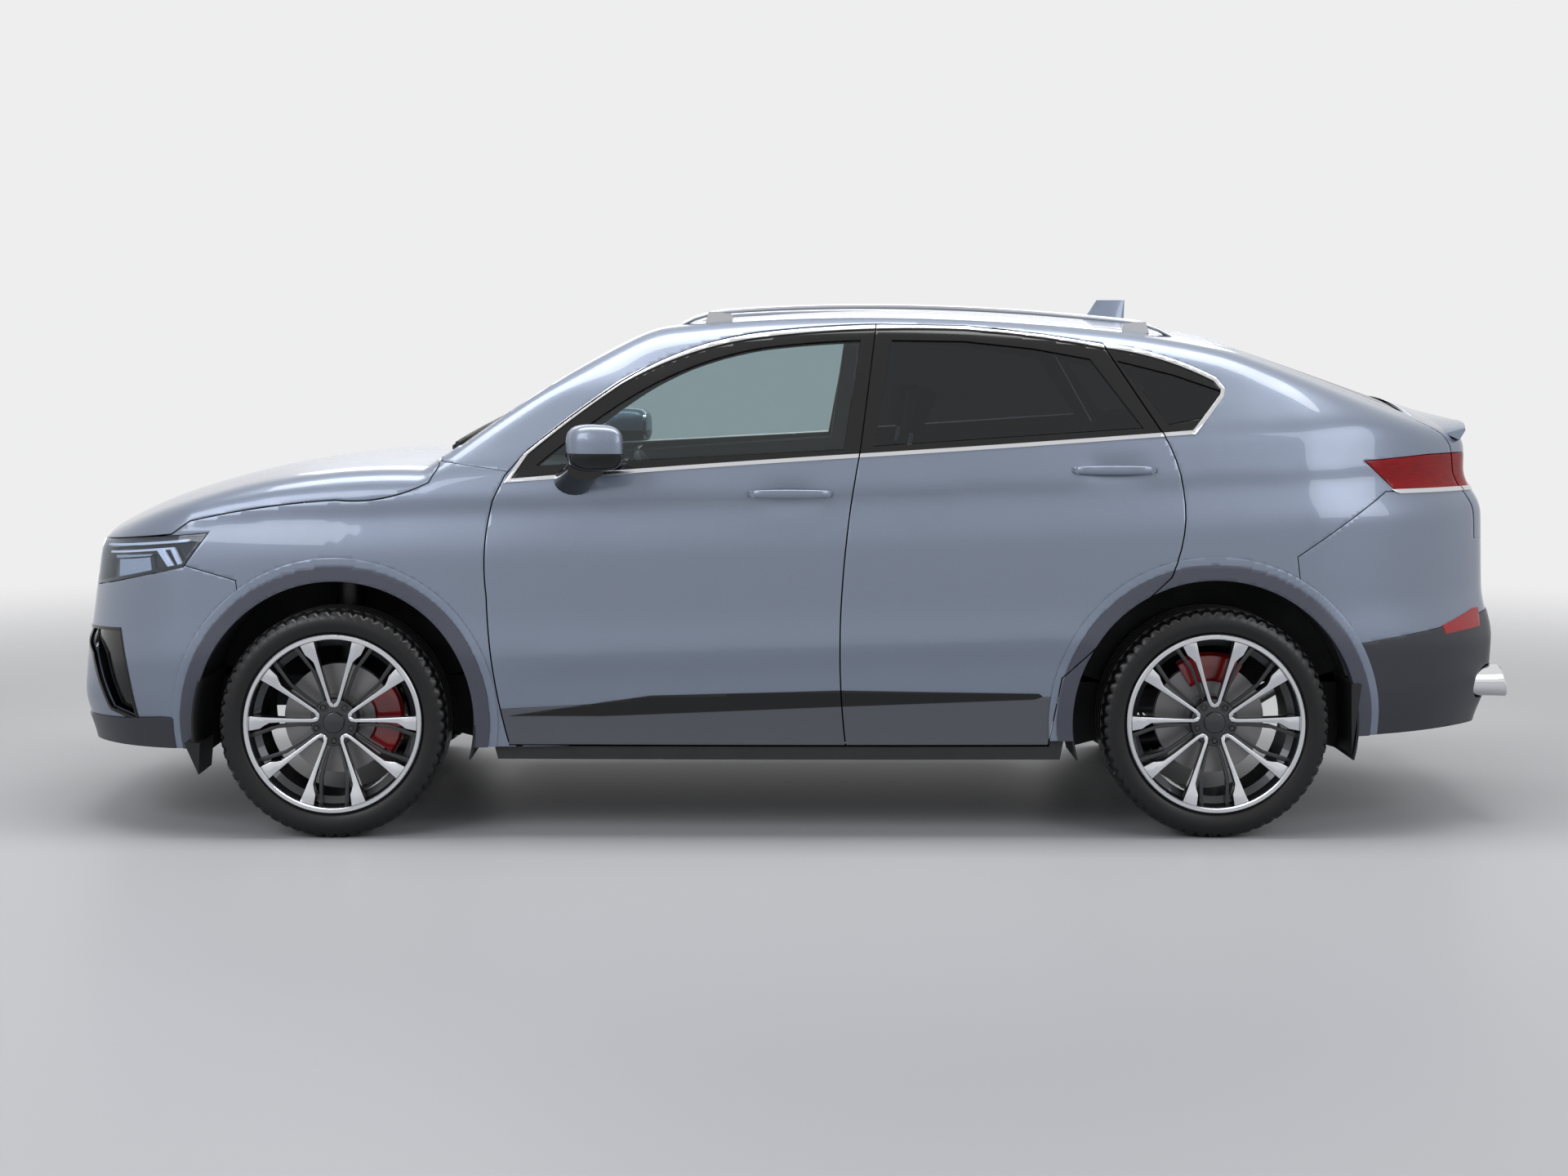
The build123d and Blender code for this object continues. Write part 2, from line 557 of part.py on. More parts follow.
post_blocks = [side_prism(shares) for shares in (
    SILL_SHARES, CENTRE_PILLAR_SHARES, FRONT_POST_SHARES, REAR_POST_SHARES)]
posts = wall((post_blocks[0] + post_blocks[1:]) - arch_cores, POST_DEPTH + POST_WALL,
             POST_DEPTH)
pillars = jambs + posts

# Mouldings round the wheel openings
trims = [wall((half_space(0, BODY_EDGE) & arch_core) - arch, PILLAR_DEPTH - FIT, -TRIM_STAND)
         for arch_core, arch in zip(arch_cores, arches)]
front_trim = trims[0] - front_door_hole
rear_trim = trims[1] - rear_door_hole
rear_door_trim = trims[1] & side_prism(REAR_DOOR_SHARES)
doors["rear"] = doors["rear"] + rear_door_trim
arch_trim = both(joined(front_trim, rear_trim))

# Mirrors, door handles, roof rails and fin
MIRROR_LENGTH, MIRROR_HEIGHT = 190, 142
MIRROR_SHARE, MIRROR_UP_SHARE = 0.706, 0.729
MIRROR_INNER, MIRROR_OUTER = 948, 1078
MIRROR_TAPER_SHARE = 0.62
MIRROR_ROUND = 40
ARM_LENGTH, ARM_HEIGHT = 90, 40
ARM_SHARE, ARM_UP_SHARE = 0.742, 0.672
ARM_FOOT_SHARE = 0.90


def mirror_section(y, part):
    return Plane((along(MIRROR_SHARE), y, up(MIRROR_UP_SHARE)), x_dir=(1, 0, 0),
                 z_dir=(0, -1, 0)) * RectangleRounded(
        MIRROR_LENGTH * part, MIRROR_HEIGHT * part, MIRROR_ROUND * part)


mirror_middle = (MIRROR_INNER + MIRROR_OUTER) / 2
mirror_housing = Solid.make_loft([
    mirror_section(MIRROR_INNER, MIRROR_TAPER_SHARE).face().outer_wire(),
    mirror_section(mirror_middle, 1).face().outer_wire(),
    mirror_section(MIRROR_OUTER, MIRROR_TAPER_SHARE).face().outer_wire()])
arm_x, arm_z = along(ARM_SHARE), up(ARM_UP_SHARE)
arm_foot = Vector(arm_x, across(ARM_FOOT_SHARE), arm_z)
arm_head = Vector(along(MIRROR_SHARE), mirror_middle, up(MIRROR_UP_SHARE))
arm_sections = [
    Plane(arm_foot, x_dir=(1, 0, 0), z_dir=(0, -1, 0)) * Rectangle(ARM_LENGTH, ARM_HEIGHT),
    Plane(arm_head, x_dir=(1, 0, 0), z_dir=(0, -1, 0)) * Rectangle(
        ARM_LENGTH / 2, ARM_HEIGHT / 2)]
mirror_arm = Solid.make_loft([section.face().outer_wire() for section in arm_sections],
                             ruled=True)
mirror_left = (mirror_housing + mirror_arm) - core(0)

HANDLE_LENGTH, HANDLE_HEIGHT = 262, 26
HANDLE_STAND = 34
HANDLE_GRIP = 14
HANDLE_FOOT_SHARE = 0.125
HANDLE_SHARES = {"front": (0.482, 0.640), "rear": (0.113, 0.684)}


def handle(share, up_share):
    """A pull handle that stands off the door on its two feet."""
    x, z = along(share), up(up_share)
    half, foot = HANDLE_LENGTH / 2, HANDLE_LENGTH * HANDLE_FOOT_SHARE
    block = box(x - half, x + half, 0, BODY_EDGE, z - HANDLE_HEIGHT / 2, z + HANDLE_HEIGHT / 2)
    grip = wall(block, HANDLE_GRIP - HANDLE_STAND, -HANDLE_STAND)
    feet = wall(block - box(x - half + foot, x + half - foot, 0, BODY_EDGE, 0, HEIGHT),
                FRAME_WALL / 2, -HANDLE_STAND)
    return grip + feet


for place, (share, up_share) in HANDLE_SHARES.items():
    doors[place] = doors[place] + handle(share, up_share)

RAIL_WIDTH = 34
RAIL_STAND = 44
RAIL_THICK = 22
RAIL_ENDS_SHARES = (0.607, 0.030)
RAIL_PLAN_SHARES = (0.565, 0.640, 0.580)
RAIL_FOOT = 90
rail_front, rail_rear = along(RAIL_ENDS_SHARES[0]), along(RAIL_ENDS_SHARES[1])
rail_middle = (rail_front + rail_rear) / 2


def rail_plan(side):
    points = [Vector(x, across(y) + side * RAIL_WIDTH / 2, up(ROOF_LOW_SHARE)) for x, y in zip(
        (rail_front, rail_middle, rail_rear), RAIL_PLAN_SHARES)]
    return Edge.make_three_point_arc(*points)


rail_arcs = [rail_plan(side) for side in (-1, 1)]
rail_ends = [Edge.make_line(rail_arcs[0] @ t, rail_arcs[1] @ t) for t in (0, 1)]
rail_prism = Solid.extrude(Face(Wire(rail_arcs + rail_ends)), Vector(0, 0, HEIGHT))
rail_bar = wall(rail_prism, RAIL_THICK - RAIL_STAND, -RAIL_STAND)
rail_feet = [wall(rail_prism & box(x - RAIL_FOOT / 2, x + RAIL_FOOT / 2, 0, BODY_EDGE, 0,
                                   HEIGHT + OVERRUN), 0, -RAIL_STAND)
             for x in (rail_front - RAIL_FOOT / 2, rail_middle, rail_rear + RAIL_FOOT / 2)]
roof_rail = rail_bar + rail_feet

FIN_SHARES = (0.118, 0.058)
FIN_LOW_SHARE, FIN_UP_SHARE = 0.955, 1.0115
FIN_TIP_SHARE = 0.12  # of the fin's length, how far its tip reaches forward
FIN_WIDTH, FIN_TOP_WIDTH = 54, 8
fin_front, fin_rear = (along(share) for share in FIN_SHARES)
fin_low, fin_top = up(FIN_LOW_SHARE), up(FIN_UP_SHARE)
fin_foot = Wire.make_polygon([(fin_front, 0, fin_low), (fin_rear, FIN_WIDTH / 2, fin_low),
                              (fin_rear, -FIN_WIDTH / 2, fin_low)], close=True)
fin_tip_x = fin_rear + (fin_front - fin_rear) * FIN_TIP_SHARE
fin_tip = Wire.make_polygon([
    (fin_tip_x, 0, fin_top), (fin_rear, FIN_TOP_WIDTH / 2, fin_top),
    (fin_rear, -FIN_TOP_WIDTH / 2, fin_top)], close=True)
roof = roof + (Solid.make_loft([fin_foot, fin_tip], ruled=True) - core(0))

# Wheels: tyre, rim with five pairs of spokes, and brake disc
BEAD_RADIUS = 257
WELL_RADIUS = 236
BEAD_SHARE = 0.52
WELL_SHARE = 0.8
SPOKE_ROOT_SHARE = 0.7
FOOT_SPREAD_SHARE = 0.9
FACE_HUB, FACE_RIM = 84, 106  # outer face of the spokes from the wheel's middle plane
BACK_HUB, BACK_RIM = 40, 66  # inner face of the spokes
CAP_RADIUS = 33
CAP_STAND = 6
BOLT_CIRCLE, BOLT_RADIUS = 56, 8
SPINDLE_RADIUS = 30
HUB_BACK = 0
RIM_LIP = 12
DISC_HAT_RADIUS = 78
DISC_INNER = 96
DISC_FROM, DISC_TO = -46, -20
UPRIGHT_FROM, UPRIGHT_TO = -86, -60


def turned(profile):
    """A solid turned about the wheel's axle from (offset, radius) points."""
    wire = Wire.make_polygon([(0, y, r) for y, r in profile], close=True)
    return Solid.revolve(Face(wire), 360, Axis.Y)


rim_half, tyre_half = RIM_WIDTH / 2, TYRE_WIDTH / 2
well_half = rim_half * BEAD_SHARE
rim_outline = [
    (rim_half, RIM_RADIUS), (rim_half - RIM_LIP, RIM_RADIUS), (rim_half - RIM_LIP, BEAD_RADIUS),
    (well_half, BEAD_RADIUS), (well_half * WELL_SHARE, WELL_RADIUS), (-well_half, WELL_RADIUS),
    (-well_half - RIM_LIP, BEAD_RADIUS), (RIM_LIP - rim_half, BEAD_RADIUS),
    (RIM_LIP - rim_half, RIM_RADIUS), (-rim_half, RIM_RADIUS)]
rim_back = [(y, r - RIM_WALL) for y, r in (
    (-rim_half, BEAD_RADIUS), (-well_half - RIM_LIP, BEAD_RADIUS), (-well_half, WELL_RADIUS),
    (well_half * WELL_SHARE, WELL_RADIUS), (well_half, BEAD_RADIUS),
    (rim_half - RIM_LIP, BEAD_RADIUS),
    (rim_half, RIM_RADIUS - RIM_WALL / 2))]
barrel = turned(rim_outline + rim_back)
dish = turned([(BACK_HUB, 0), (FACE_HUB, 0), (FACE_HUB, HUB_RADIUS),
               (FACE_RIM, BEAD_RADIUS - RIM_WALL / 2), (BACK_RIM, BEAD_RADIUS - RIM_WALL / 2),
               (BACK_HUB, HUB_RADIUS)])


def spoke(turn):
    """One spoke drawn from the hub to the rim, widening outwards, at an angle."""
    foot, tip = HUB_RADIUS * SPOKE_ROOT_SHARE, BEAD_RADIUS
    angle = radians(turn)
    spread = radians(SPOKE_SPREAD_ANGLE / 2)
    pieces = []
    for side in (-1, 1):
        middle = angle + side * spread
        near = angle + side * spread * FOOT_SPREAD_SHARE
        radial_n, cross_n = (sin(near), cos(near)), (cos(near), -sin(near))
        radial_f, cross_f = (sin(middle), cos(middle)), (cos(middle), -sin(middle))
        corners = []
        for radial, cross, reach, width, flip in (
                (radial_n, cross_n, foot, SPOKE_FOOT, -1),
                (radial_f, cross_f, tip, SPOKE_TIP, -1),
                (radial_f, cross_f, tip, SPOKE_TIP, 1),
                (radial_n, cross_n, foot, SPOKE_FOOT, 1)):
            corners.append(Vector(radial[0] * reach + flip * cross[0] * width / 2, 0,
                                  radial[1] * reach + flip * cross[1] * width / 2))
        face = Face(Wire.make_polygon(corners, close=True))
        pieces.append(Solid.extrude(face, Vector(0, TYRE_WIDTH, 0)))
    return pieces


spokes = [piece for i in range(SPOKE_PAIRS) for piece in spoke(i * 360 / SPOKE_PAIRS)]
hub = turned([(HUB_BACK, SPINDLE_RADIUS + FIT), (HUB_BACK, HUB_RADIUS), (FACE_HUB, HUB_RADIUS),
              (FACE_HUB, CAP_RADIUS), (FACE_HUB + CAP_STAND, CAP_RADIUS),
              (FACE_HUB + CAP_STAND, 0), (BACK_HUB, 0), (BACK_HUB, SPINDLE_RADIUS + FIT)])
bolts = [rod(BOLT_RADIUS, (BOLT_CIRCLE * sin(a), BACK_HUB + (FACE_HUB - BACK_HUB) / 2,
                           BOLT_CIRCLE * cos(a)),
             (BOLT_CIRCLE * sin(a), TYRE_WIDTH, BOLT_CIRCLE * cos(a)))
         for a in (pi * (2 * i + 1) / SPOKE_PAIRS for i in range(SPOKE_PAIRS))]
face_spokes = (spokes[0] + spokes[1:]) & dish
rim = (barrel + [face_spokes, hub]) - bolts
disc = turned([(HUB_BACK - FIT, SPINDLE_RADIUS + FIT), (HUB_BACK - FIT, DISC_HAT_RADIUS),
               (DISC_TO, DISC_HAT_RADIUS), (DISC_TO, DISC_RADIUS), (DISC_FROM, DISC_RADIUS),
               (DISC_FROM, DISC_INNER), (DISC_TO - RIM_WALL, SPINDLE_RADIUS + FIT)])
tyre_profile = Wire([
    Edge.make_line((0, RIM_LIP - rim_half + FIT, BEAD_RADIUS + FIT),
                   (0, rim_half - RIM_LIP - FIT, BEAD_RADIUS + FIT)),
    Edge.make_line((0, rim_half - RIM_LIP - FIT, BEAD_RADIUS + FIT),
                   (0, rim_half - RIM_LIP - FIT, RIM_RADIUS + FIT)),
    Edge.make_three_point_arc((0, rim_half - RIM_LIP - FIT, RIM_RADIUS + FIT),
                              (0, tyre_half, (RIM_RADIUS + TYRE_RADIUS) / 2),
                              (0, tyre_half - TYRE_SHOULDER, TYRE_RADIUS)),
    Edge.make_line((0, tyre_half - TYRE_SHOULDER, TYRE_RADIUS),
                   (0, TYRE_SHOULDER - tyre_half, TYRE_RADIUS)),
    Edge.make_three_point_arc((0, TYRE_SHOULDER - tyre_half, TYRE_RADIUS),
                              (0, -tyre_half, (RIM_RADIUS + TYRE_RADIUS) / 2),
                              (0, RIM_LIP - rim_half + FIT, RIM_RADIUS + FIT)),
    Edge.make_line((0, RIM_LIP - rim_half + FIT, RIM_RADIUS + FIT),
                   (0, RIM_LIP - rim_half + FIT, BEAD_RADIUS + FIT))])
tyre = Solid.revolve(Face(tyre_profile), 360, Axis.Y)

# Running gear: knuckles that steer, front subframe and rear axle
SPINDLE_TIP = 36
UPRIGHT_WIDTH, UPRIGHT_UP, UPRIGHT_DOWN = 70, 95, 96
CALIPER_INNER, CALIPER_OUTER = 118, 204
CALIPER_ARC = 62
EAR_SHARE = 1.2  # reach of the caliper's ear to the caliper's inner radius
PAD_GAP = 6
PISTON_DEPTH = 26
BRIDGE_GAP = 8
BALL_RADIUS = 20
ARM_BAR = 20
ARM_ROOT_Y = 330
ARM_SPREAD = 190
SUBFRAME_WIDTH, SUBFRAME_HIGH, SUBFRAME_LONG = 700, 60, 460
STRUT_Y = 560
STRUT_RADIUS, SPRING_RADIUS = 26, 44
SEAT_THICK = 24
LINER_GAP = 6


def caliper(middle):
    """A caliper that straddles the disc's edge, centred at an angle from straight up."""
    inner_y, outer_y = DISC_FROM - PAD_GAP - PISTON_DEPTH, DISC_TO + PAD_GAP + PISTON_DEPTH / 2
    clear = DISC_RADIUS + BRIDGE_GAP
    profile = Wire.make_polygon([
        (0, inner_y, CALIPER_INNER), (0, DISC_FROM - PAD_GAP, CALIPER_INNER),
        (0, DISC_FROM - PAD_GAP, clear), (0, DISC_TO + PAD_GAP, clear),
        (0, DISC_TO + PAD_GAP, CALIPER_INNER), (0, outer_y, CALIPER_INNER),
        (0, outer_y, CALIPER_OUTER), (0, inner_y, CALIPER_OUTER)], close=True)
    block = Solid.revolve(Face(profile), CALIPER_ARC, Axis.Y)
    return block.rotate(Axis.Y, middle - CALIPER_ARC / 2)


def upright(caliper_angle):
    """Spindle, upright with its caliper, about the wheel's middle at the origin."""
    spindle = rod(SPINDLE_RADIUS, (0, UPRIGHT_FROM, 0), (0, SPINDLE_TIP, 0))
    plate = box(-UPRIGHT_WIDTH / 2, UPRIGHT_WIDTH / 2, UPRIGHT_FROM, UPRIGHT_TO,
                -UPRIGHT_DOWN, UPRIGHT_UP)
    reach = radians(caliper_angle)
    ear = rod(UPRIGHT_WIDTH / 4, (0, (UPRIGHT_FROM + UPRIGHT_TO) / 2, 0),
              (CALIPER_INNER * EAR_SHARE * sin(reach), (UPRIGHT_FROM + UPRIGHT_TO) / 2,
               CALIPER_INNER * EAR_SHARE * cos(reach)))
    return spindle + [plate, ear, caliper(caliper_angle)]


def at_wheel(shape, axle_x):
    return gathered([solid.moved(Pos(axle_x, TRACK_HALF, AXLE_Z)) for solid in shape.solids()])


front_upright = upright(-90)
upright_foot = AXLE_Z - UPRIGHT_DOWN
knuckle_left = at_wheel(front_upright, FRONT_AXLE_X)
arm_end = Vector(FRONT_AXLE_X, TRACK_HALF + (UPRIGHT_FROM + UPRIGHT_TO) / 2,
                 upright_foot - FIT - BALL_RADIUS)
ball = rod(BALL_RADIUS, arm_end - Vector(0, 0, BALL_RADIUS), arm_end + Vector(0, 0, BALL_RADIUS))
arm_roots = [Vector(FRONT_AXLE_X + side * ARM_SPREAD, ARM_ROOT_Y, arm_end.Z) for side in (-1, 1)]
arms = [rod(ARM_BAR, root, arm_end) for root in arm_roots]
seat_reach = ARM_SPREAD * (arm_end.Y - STRUT_Y) / (arm_end.Y - ARM_ROOT_Y)
strut_seat = box(FRONT_AXLE_X - seat_reach, FRONT_AXLE_X + seat_reach, STRUT_Y - STRUT_RADIUS,
                 STRUT_Y + STRUT_RADIUS, arm_end.Z - SEAT_THICK / 2, arm_end.Z + SEAT_THICK / 2)
subframe = box(FRONT_AXLE_X - SUBFRAME_LONG / 2, FRONT_AXLE_X + SUBFRAME_LONG / 2,
               -SUBFRAME_WIDTH / 2, SUBFRAME_WIDTH / 2, arm_end.Z - SUBFRAME_HIGH / 2,
               arm_end.Z + SUBFRAME_HIGH / 2)
strut_low = Vector(FRONT_AXLE_X, STRUT_Y, arm_end.Z)
strut_top = Vector(FRONT_AXLE_X, STRUT_Y, AXLE_Z + FRONT_ARCH + LINER_GAP)
spring_low = Vector(FRONT_AXLE_X, STRUT_Y, AXLE_Z)
strut = rod(STRUT_RADIUS, strut_low, strut_top) + rod(SPRING_RADIUS, spring_low, strut_top)
strut = strut & wheel_prism(FRONT_AXLE_X, FRONT_ARCH + LINER_GAP - FIT, 0, BODY_EDGE)
front_links = [*arms, ball, strut_seat, strut]
front_links += [mirrored(link) for link in front_links]
rear_upright = at_wheel(upright(0), REAR_AXLE_X)
rear_links = [
    rod(ARM_BAR, (REAR_AXLE_X, TRACK_HALF + UPRIGHT_TO, AXLE_Z),
        (REAR_AXLE_X, ARM_ROOT_Y, AXLE_Z))]
rear_beam = box(REAR_AXLE_X - SUBFRAME_LONG / 3, REAR_AXLE_X + SUBFRAME_LONG / 3,
                -SUBFRAME_WIDTH / 2, SUBFRAME_WIDTH / 2, AXLE_Z - SUBFRAME_HIGH / 2,
                AXLE_Z + SUBFRAME_HIGH / 2)

# Wheel liners, floor with its bulkhead, engine and exhaust
LINER_WALL = 4
LINER_INNER = (482, 645)
LINER_APRON_SHARE = 0.27
FLOOR_THICK = 24
# Places along and up of the floor's upper face, from the bulkhead's top to the boot
FLOOR_SHARES = [
    (0.850, 0.600), (0.850, 0.330), (0.800, 0.205), (0.240, 0.205), (0.235, 0.340),
    (-0.060, 0.340), (-0.100, 0.400), (-0.860, 0.400), (-0.880, 0.520)]
ENGINE_SHARES = (0.935, 1.400)
ENGINE_WIDTH, ENGINE_LOW_SHARE, ENGINE_HIGH_SHARE = 840, 0.20, 0.555
ENGINE_CHAMFER = 60
MOUNT_SIZE, MOUNT_Y = 90, 250
PIPE_RADIUS, TIP_LENGTH, TIP_WALL = 28, 190, 4
BOX_LONG, BOX_WIDE, BOX_HIGH = 260, 1240, 150
HANGER_RADIUS = 8
HANGER_Y_SHARE = 0.35
liners = []
liner_places = ((FRONT_AXLE_X, FRONT_ARCH, LINER_INNER[0]),
                (REAR_AXLE_X, REAR_ARCH, LINER_INNER[1]))
for axle_x, arch_radius, inner_y in liner_places:
    outside = wheel_prism(axle_x, arch_radius + LINER_WALL + LINER_GAP, inner_y, BODY_EDGE)
    inside = wheel_prism(axle_x, arch_radius + LINER_GAP, inner_y + LINER_WALL, BODY_EDGE)
    upper = box(axle_x - 2 * arch_radius, axle_x + 2 * arch_radius, 0, BODY_EDGE,
                up(LINER_APRON_SHARE), HEIGHT)
    liners.append((outside - inside) & upper & core(POST_DEPTH + POST_WALL + FIT))
wheel_liners = both(joined(*liners))
liner_blocks = [wheel_prism(axle_x, arch_radius + LINER_WALL + LINER_GAP + FIT,
                            inner_y - FIT, BODY_EDGE)
                for axle_x, arch_radius, inner_y in liner_places]
liner_blocks += [mirrored(block) for block in liner_blocks]

floor_line = [(along(x), up(z)) for x, z in FLOOR_SHARES]
floor_under = inset_outline(floor_line, FLOOR_THICK)
floor_face = Face(Wire.make_polygon(
    [(x, -BODY_EDGE, z) for x, z in floor_line + floor_under[::-1]], close=True))
floor_pan = (Solid.extrude(floor_face, Vector(0, 2 * BODY_EDGE, 0))
             & core(POST_DEPTH + POST_WALL + FIT)) - liner_blocks
engine_low = up(ENGINE_LOW_SHARE)
mounts = [box(FRONT_AXLE_X - MOUNT_SIZE / 2, FRONT_AXLE_X + MOUNT_SIZE / 2,
              side * MOUNT_Y - MOUNT_SIZE / 2, side * MOUNT_Y + MOUNT_SIZE / 2,
              arm_end.Z, engine_low - FIT) for side in (-1, 1)]
front_subframe = subframe + [*front_links, *mounts]
engine_x = [along(share) for share in ENGINE_SHARES]
engine = box(*engine_x, -ENGINE_WIDTH / 2, ENGINE_WIDTH / 2, engine_low,
             up(ENGINE_HIGH_SHARE))
engine = chamfer(engine.edges(), ENGINE_CHAMFER)

tip_z, tail_end = up(TIP_UP_SHARE), along(TIP_END_SHARE)
tips = [tube(TIP_RADIUS, TIP_RADIUS - TIP_WALL, (tail_end + TIP_LENGTH, across(y), tip_z),
             (tail_end, across(y), tip_z)) for y in TIP_ACROSS_SHARES]
silencer_x = tail_end + TIP_LENGTH
silencer = box(silencer_x, silencer_x + BOX_LONG, -BOX_WIDE / 2, BOX_WIDE / 2,
               tip_z - BOX_HIGH / 2, tip_z + BOX_HIGH / 2)
pipe_z = up(FLOOR_SHARES[2][1]) - FLOOR_THICK - PIPE_RADIUS - LINER_GAP
pipe_bend = REAR_AXLE_X - SUBFRAME_LONG / 2 - PIPE_RADIUS
pipe_line = Wire([
    Edge.make_line((silencer_x + BOX_LONG - PIPE_RADIUS, 0, tip_z), (pipe_bend, 0, pipe_z)),
    Edge.make_line((pipe_bend, 0, pipe_z),
                   (FRONT_AXLE_X - SUBFRAME_LONG / 2 - PIPE_RADIUS, 0, pipe_z))])
pipe = Solid.sweep(Face(Wire.make_circle(PIPE_RADIUS, Plane(
    pipe_line @ 0, z_dir=pipe_line % 0))), pipe_line, transition=Transition.ROUND)
boot_under = up(FLOOR_SHARES[-2][1]) - FLOOR_THICK
hanger_x = silencer_x + BOX_LONG / 2
hangers = [rod(HANGER_RADIUS, (hanger_x, side * BOX_WIDE * HANGER_Y_SHARE, tip_z),
               (hanger_x, side * BOX_WIDE * HANGER_Y_SHARE, boot_under - FIT))
           for side in (-1, 1)]
exhaust = silencer + [pipe, *hangers, *tips, *[mirrored(tip) for tip in tips]]
seat_under = up(FLOOR_SHARES[4][1]) - FLOOR_THICK
spring_y = SUBFRAME_WIDTH / 2 - SPRING_RADIUS
rear_springs = [rod(SPRING_RADIUS, (REAR_AXLE_X, side * spring_y, AXLE_Z),
                    (REAR_AXLE_X, side * spring_y, seat_under - FIT)) for side in (-1, 1)]

# Cabin: seats, dashboard and steering wheel
SEAT_WIDTH, SEAT_Y = 520, 375
# Side outlines of a front seat and the rear bench, along and up
FRONT_CUSHION_SHARES = [(0.625, 0.335), (0.625, 0.385), (0.615, 0.405), (0.470, 0.375),
                        (0.455, 0.330), (0.500, 0.315)]
FRONT_BACK_SHARES = [FRONT_CUSHION_SHARES[3], FRONT_CUSHION_SHARES[4], (0.400, 0.350),
                     (0.325, 0.690), (0.340, 0.715), (0.375, 0.705)]
HEAD_REST_SHARES = [(0.345, 0.745), (0.322, 0.735), (0.300, 0.820), (0.312, 0.840),
                    (0.340, 0.830)]
REAR_CUSHION_SHARES = [(0.225, 0.340), (0.228, 0.400), (0.215, 0.420), (0.080, 0.395),
                       (0.065, 0.355), (0.090, 0.340)]
REAR_BACK_SHARES = [REAR_CUSHION_SHARES[3], REAR_CUSHION_SHARES[4], (0.010, 0.375),
                    (-0.085, 0.680), (-0.072, 0.705), (-0.035, 0.695)]
SEAT_BASE_SHARES = [(0.610, 0.205), (0.610, 0.330), (0.450, 0.330), (0.450, 0.205)]
HEAD_REST_WIDTH, REAR_SEAT_WIDTH = 260, 1240
HEAD_REST_ROD = 7
REST_FOOT_SHARES = (0.322, 0.80)
REAR_BACK_WIDE_SHARE = 0.93
SEAT_ROUND = 22


def cushion(shares, width, middle):
    return side_prism(shares, -FIT / 2, middle - width / 2, middle + width / 2)


def front_seat():
    base = side_prism(SEAT_BASE_SHARES, 0, SEAT_Y - SEAT_WIDTH / 3, SEAT_Y + SEAT_WIDTH / 3)
    back_top = Vector(along(FRONT_BACK_SHARES[4][0]), 0, up(FRONT_BACK_SHARES[4][1]) - SEAT_ROUND)
    rest_low = Vector(along(REST_FOOT_SHARES[0]), 0, up(REST_FOOT_SHARES[1]))
    rods = [rod(HEAD_REST_ROD, back_top + Vector(0, SEAT_Y + side * HEAD_REST_WIDTH / 4, 0),
                rest_low + Vector(0, SEAT_Y + side * HEAD_REST_WIDTH / 4, 0))
            for side in (-1, 1)]
    return (cushion(FRONT_CUSHION_SHARES, SEAT_WIDTH, SEAT_Y)
            + [cushion(FRONT_BACK_SHARES, SEAT_WIDTH, SEAT_Y),
               cushion(HEAD_REST_SHARES, HEAD_REST_WIDTH, SEAT_Y), base, *rods])


front_seat_left = front_seat()
rear_seat = cushion(REAR_CUSHION_SHARES, REAR_SEAT_WIDTH, 0) + cushion(
    REAR_BACK_SHARES, REAR_SEAT_WIDTH * REAR_BACK_WIDE_SHARE, 0)

DASH_SHARES = [(0.850, 0.590), (0.850, 0.655), (0.800, 0.668), (0.690, 0.655), (0.668, 0.630),
               (0.672, 0.560), (0.720, 0.480), (0.780, 0.470)]
dashboard = wide_prism(DASH_SHARES) & core(POST_DEPTH + POST_WALL + FIT)
CONSOLE_SHARES = [(0.700, 0.205), (0.700, 0.480), (0.670, 0.480), (0.600, 0.380),
                  (0.400, 0.390), (0.400, 0.205)]
CONSOLE_WIDTH = 200
console = side_prism(CONSOLE_SHARES, 0, -CONSOLE_WIDTH / 2, CONSOLE_WIDTH / 2)
dashboard = dashboard + console

WHEEL_GRIP, WHEEL_RING = 15, 180
COLUMN_TILT = 25
COLUMN_RADIUS = 24
STEERING_HUB_RADIUS, STEERING_HUB_DEPTH, STEERING_HUB_BACK = 58, 45, 38
STEERING_SPOKE = 12
WHEEL_X_SHARE, WHEEL_UP_SHARE = 0.634, 0.600
steering_centre = Vector(along(WHEEL_X_SHARE), SEAT_Y, up(WHEEL_UP_SHARE))
steering_axis = Vector(-cos(radians(COLUMN_TILT)), 0, sin(radians(COLUMN_TILT)))
steering_plane = Plane(steering_centre, x_dir=(0, 1, 0), z_dir=steering_axis)
ring = Solid.make_torus(WHEEL_RING, WHEEL_GRIP, steering_plane)
steering_hub = Solid.make_cylinder(STEERING_HUB_RADIUS, STEERING_HUB_DEPTH, Plane(
    steering_centre - steering_axis * STEERING_HUB_BACK, x_dir=(0, 1, 0), z_dir=steering_axis))
wheel_spokes = []
for turn in (0, 180, 270):
    direction = (steering_plane.x_dir * cos(radians(turn))
                 + steering_plane.y_dir * sin(radians(turn)))
    wheel_spokes.append(rod(STEERING_SPOKE, steering_centre - steering_axis * WHEEL_GRIP,
                            steering_centre + direction * WHEEL_RING))
steering_wheel = ring + [steering_hub, *wheel_spokes]
column_end = steering_centre - steering_axis * (STEERING_HUB_BACK + FIT)
column = rod(COLUMN_RADIUS, column_end, column_end - steering_axis * WHEEL_RING)
dashboard = dashboard + column

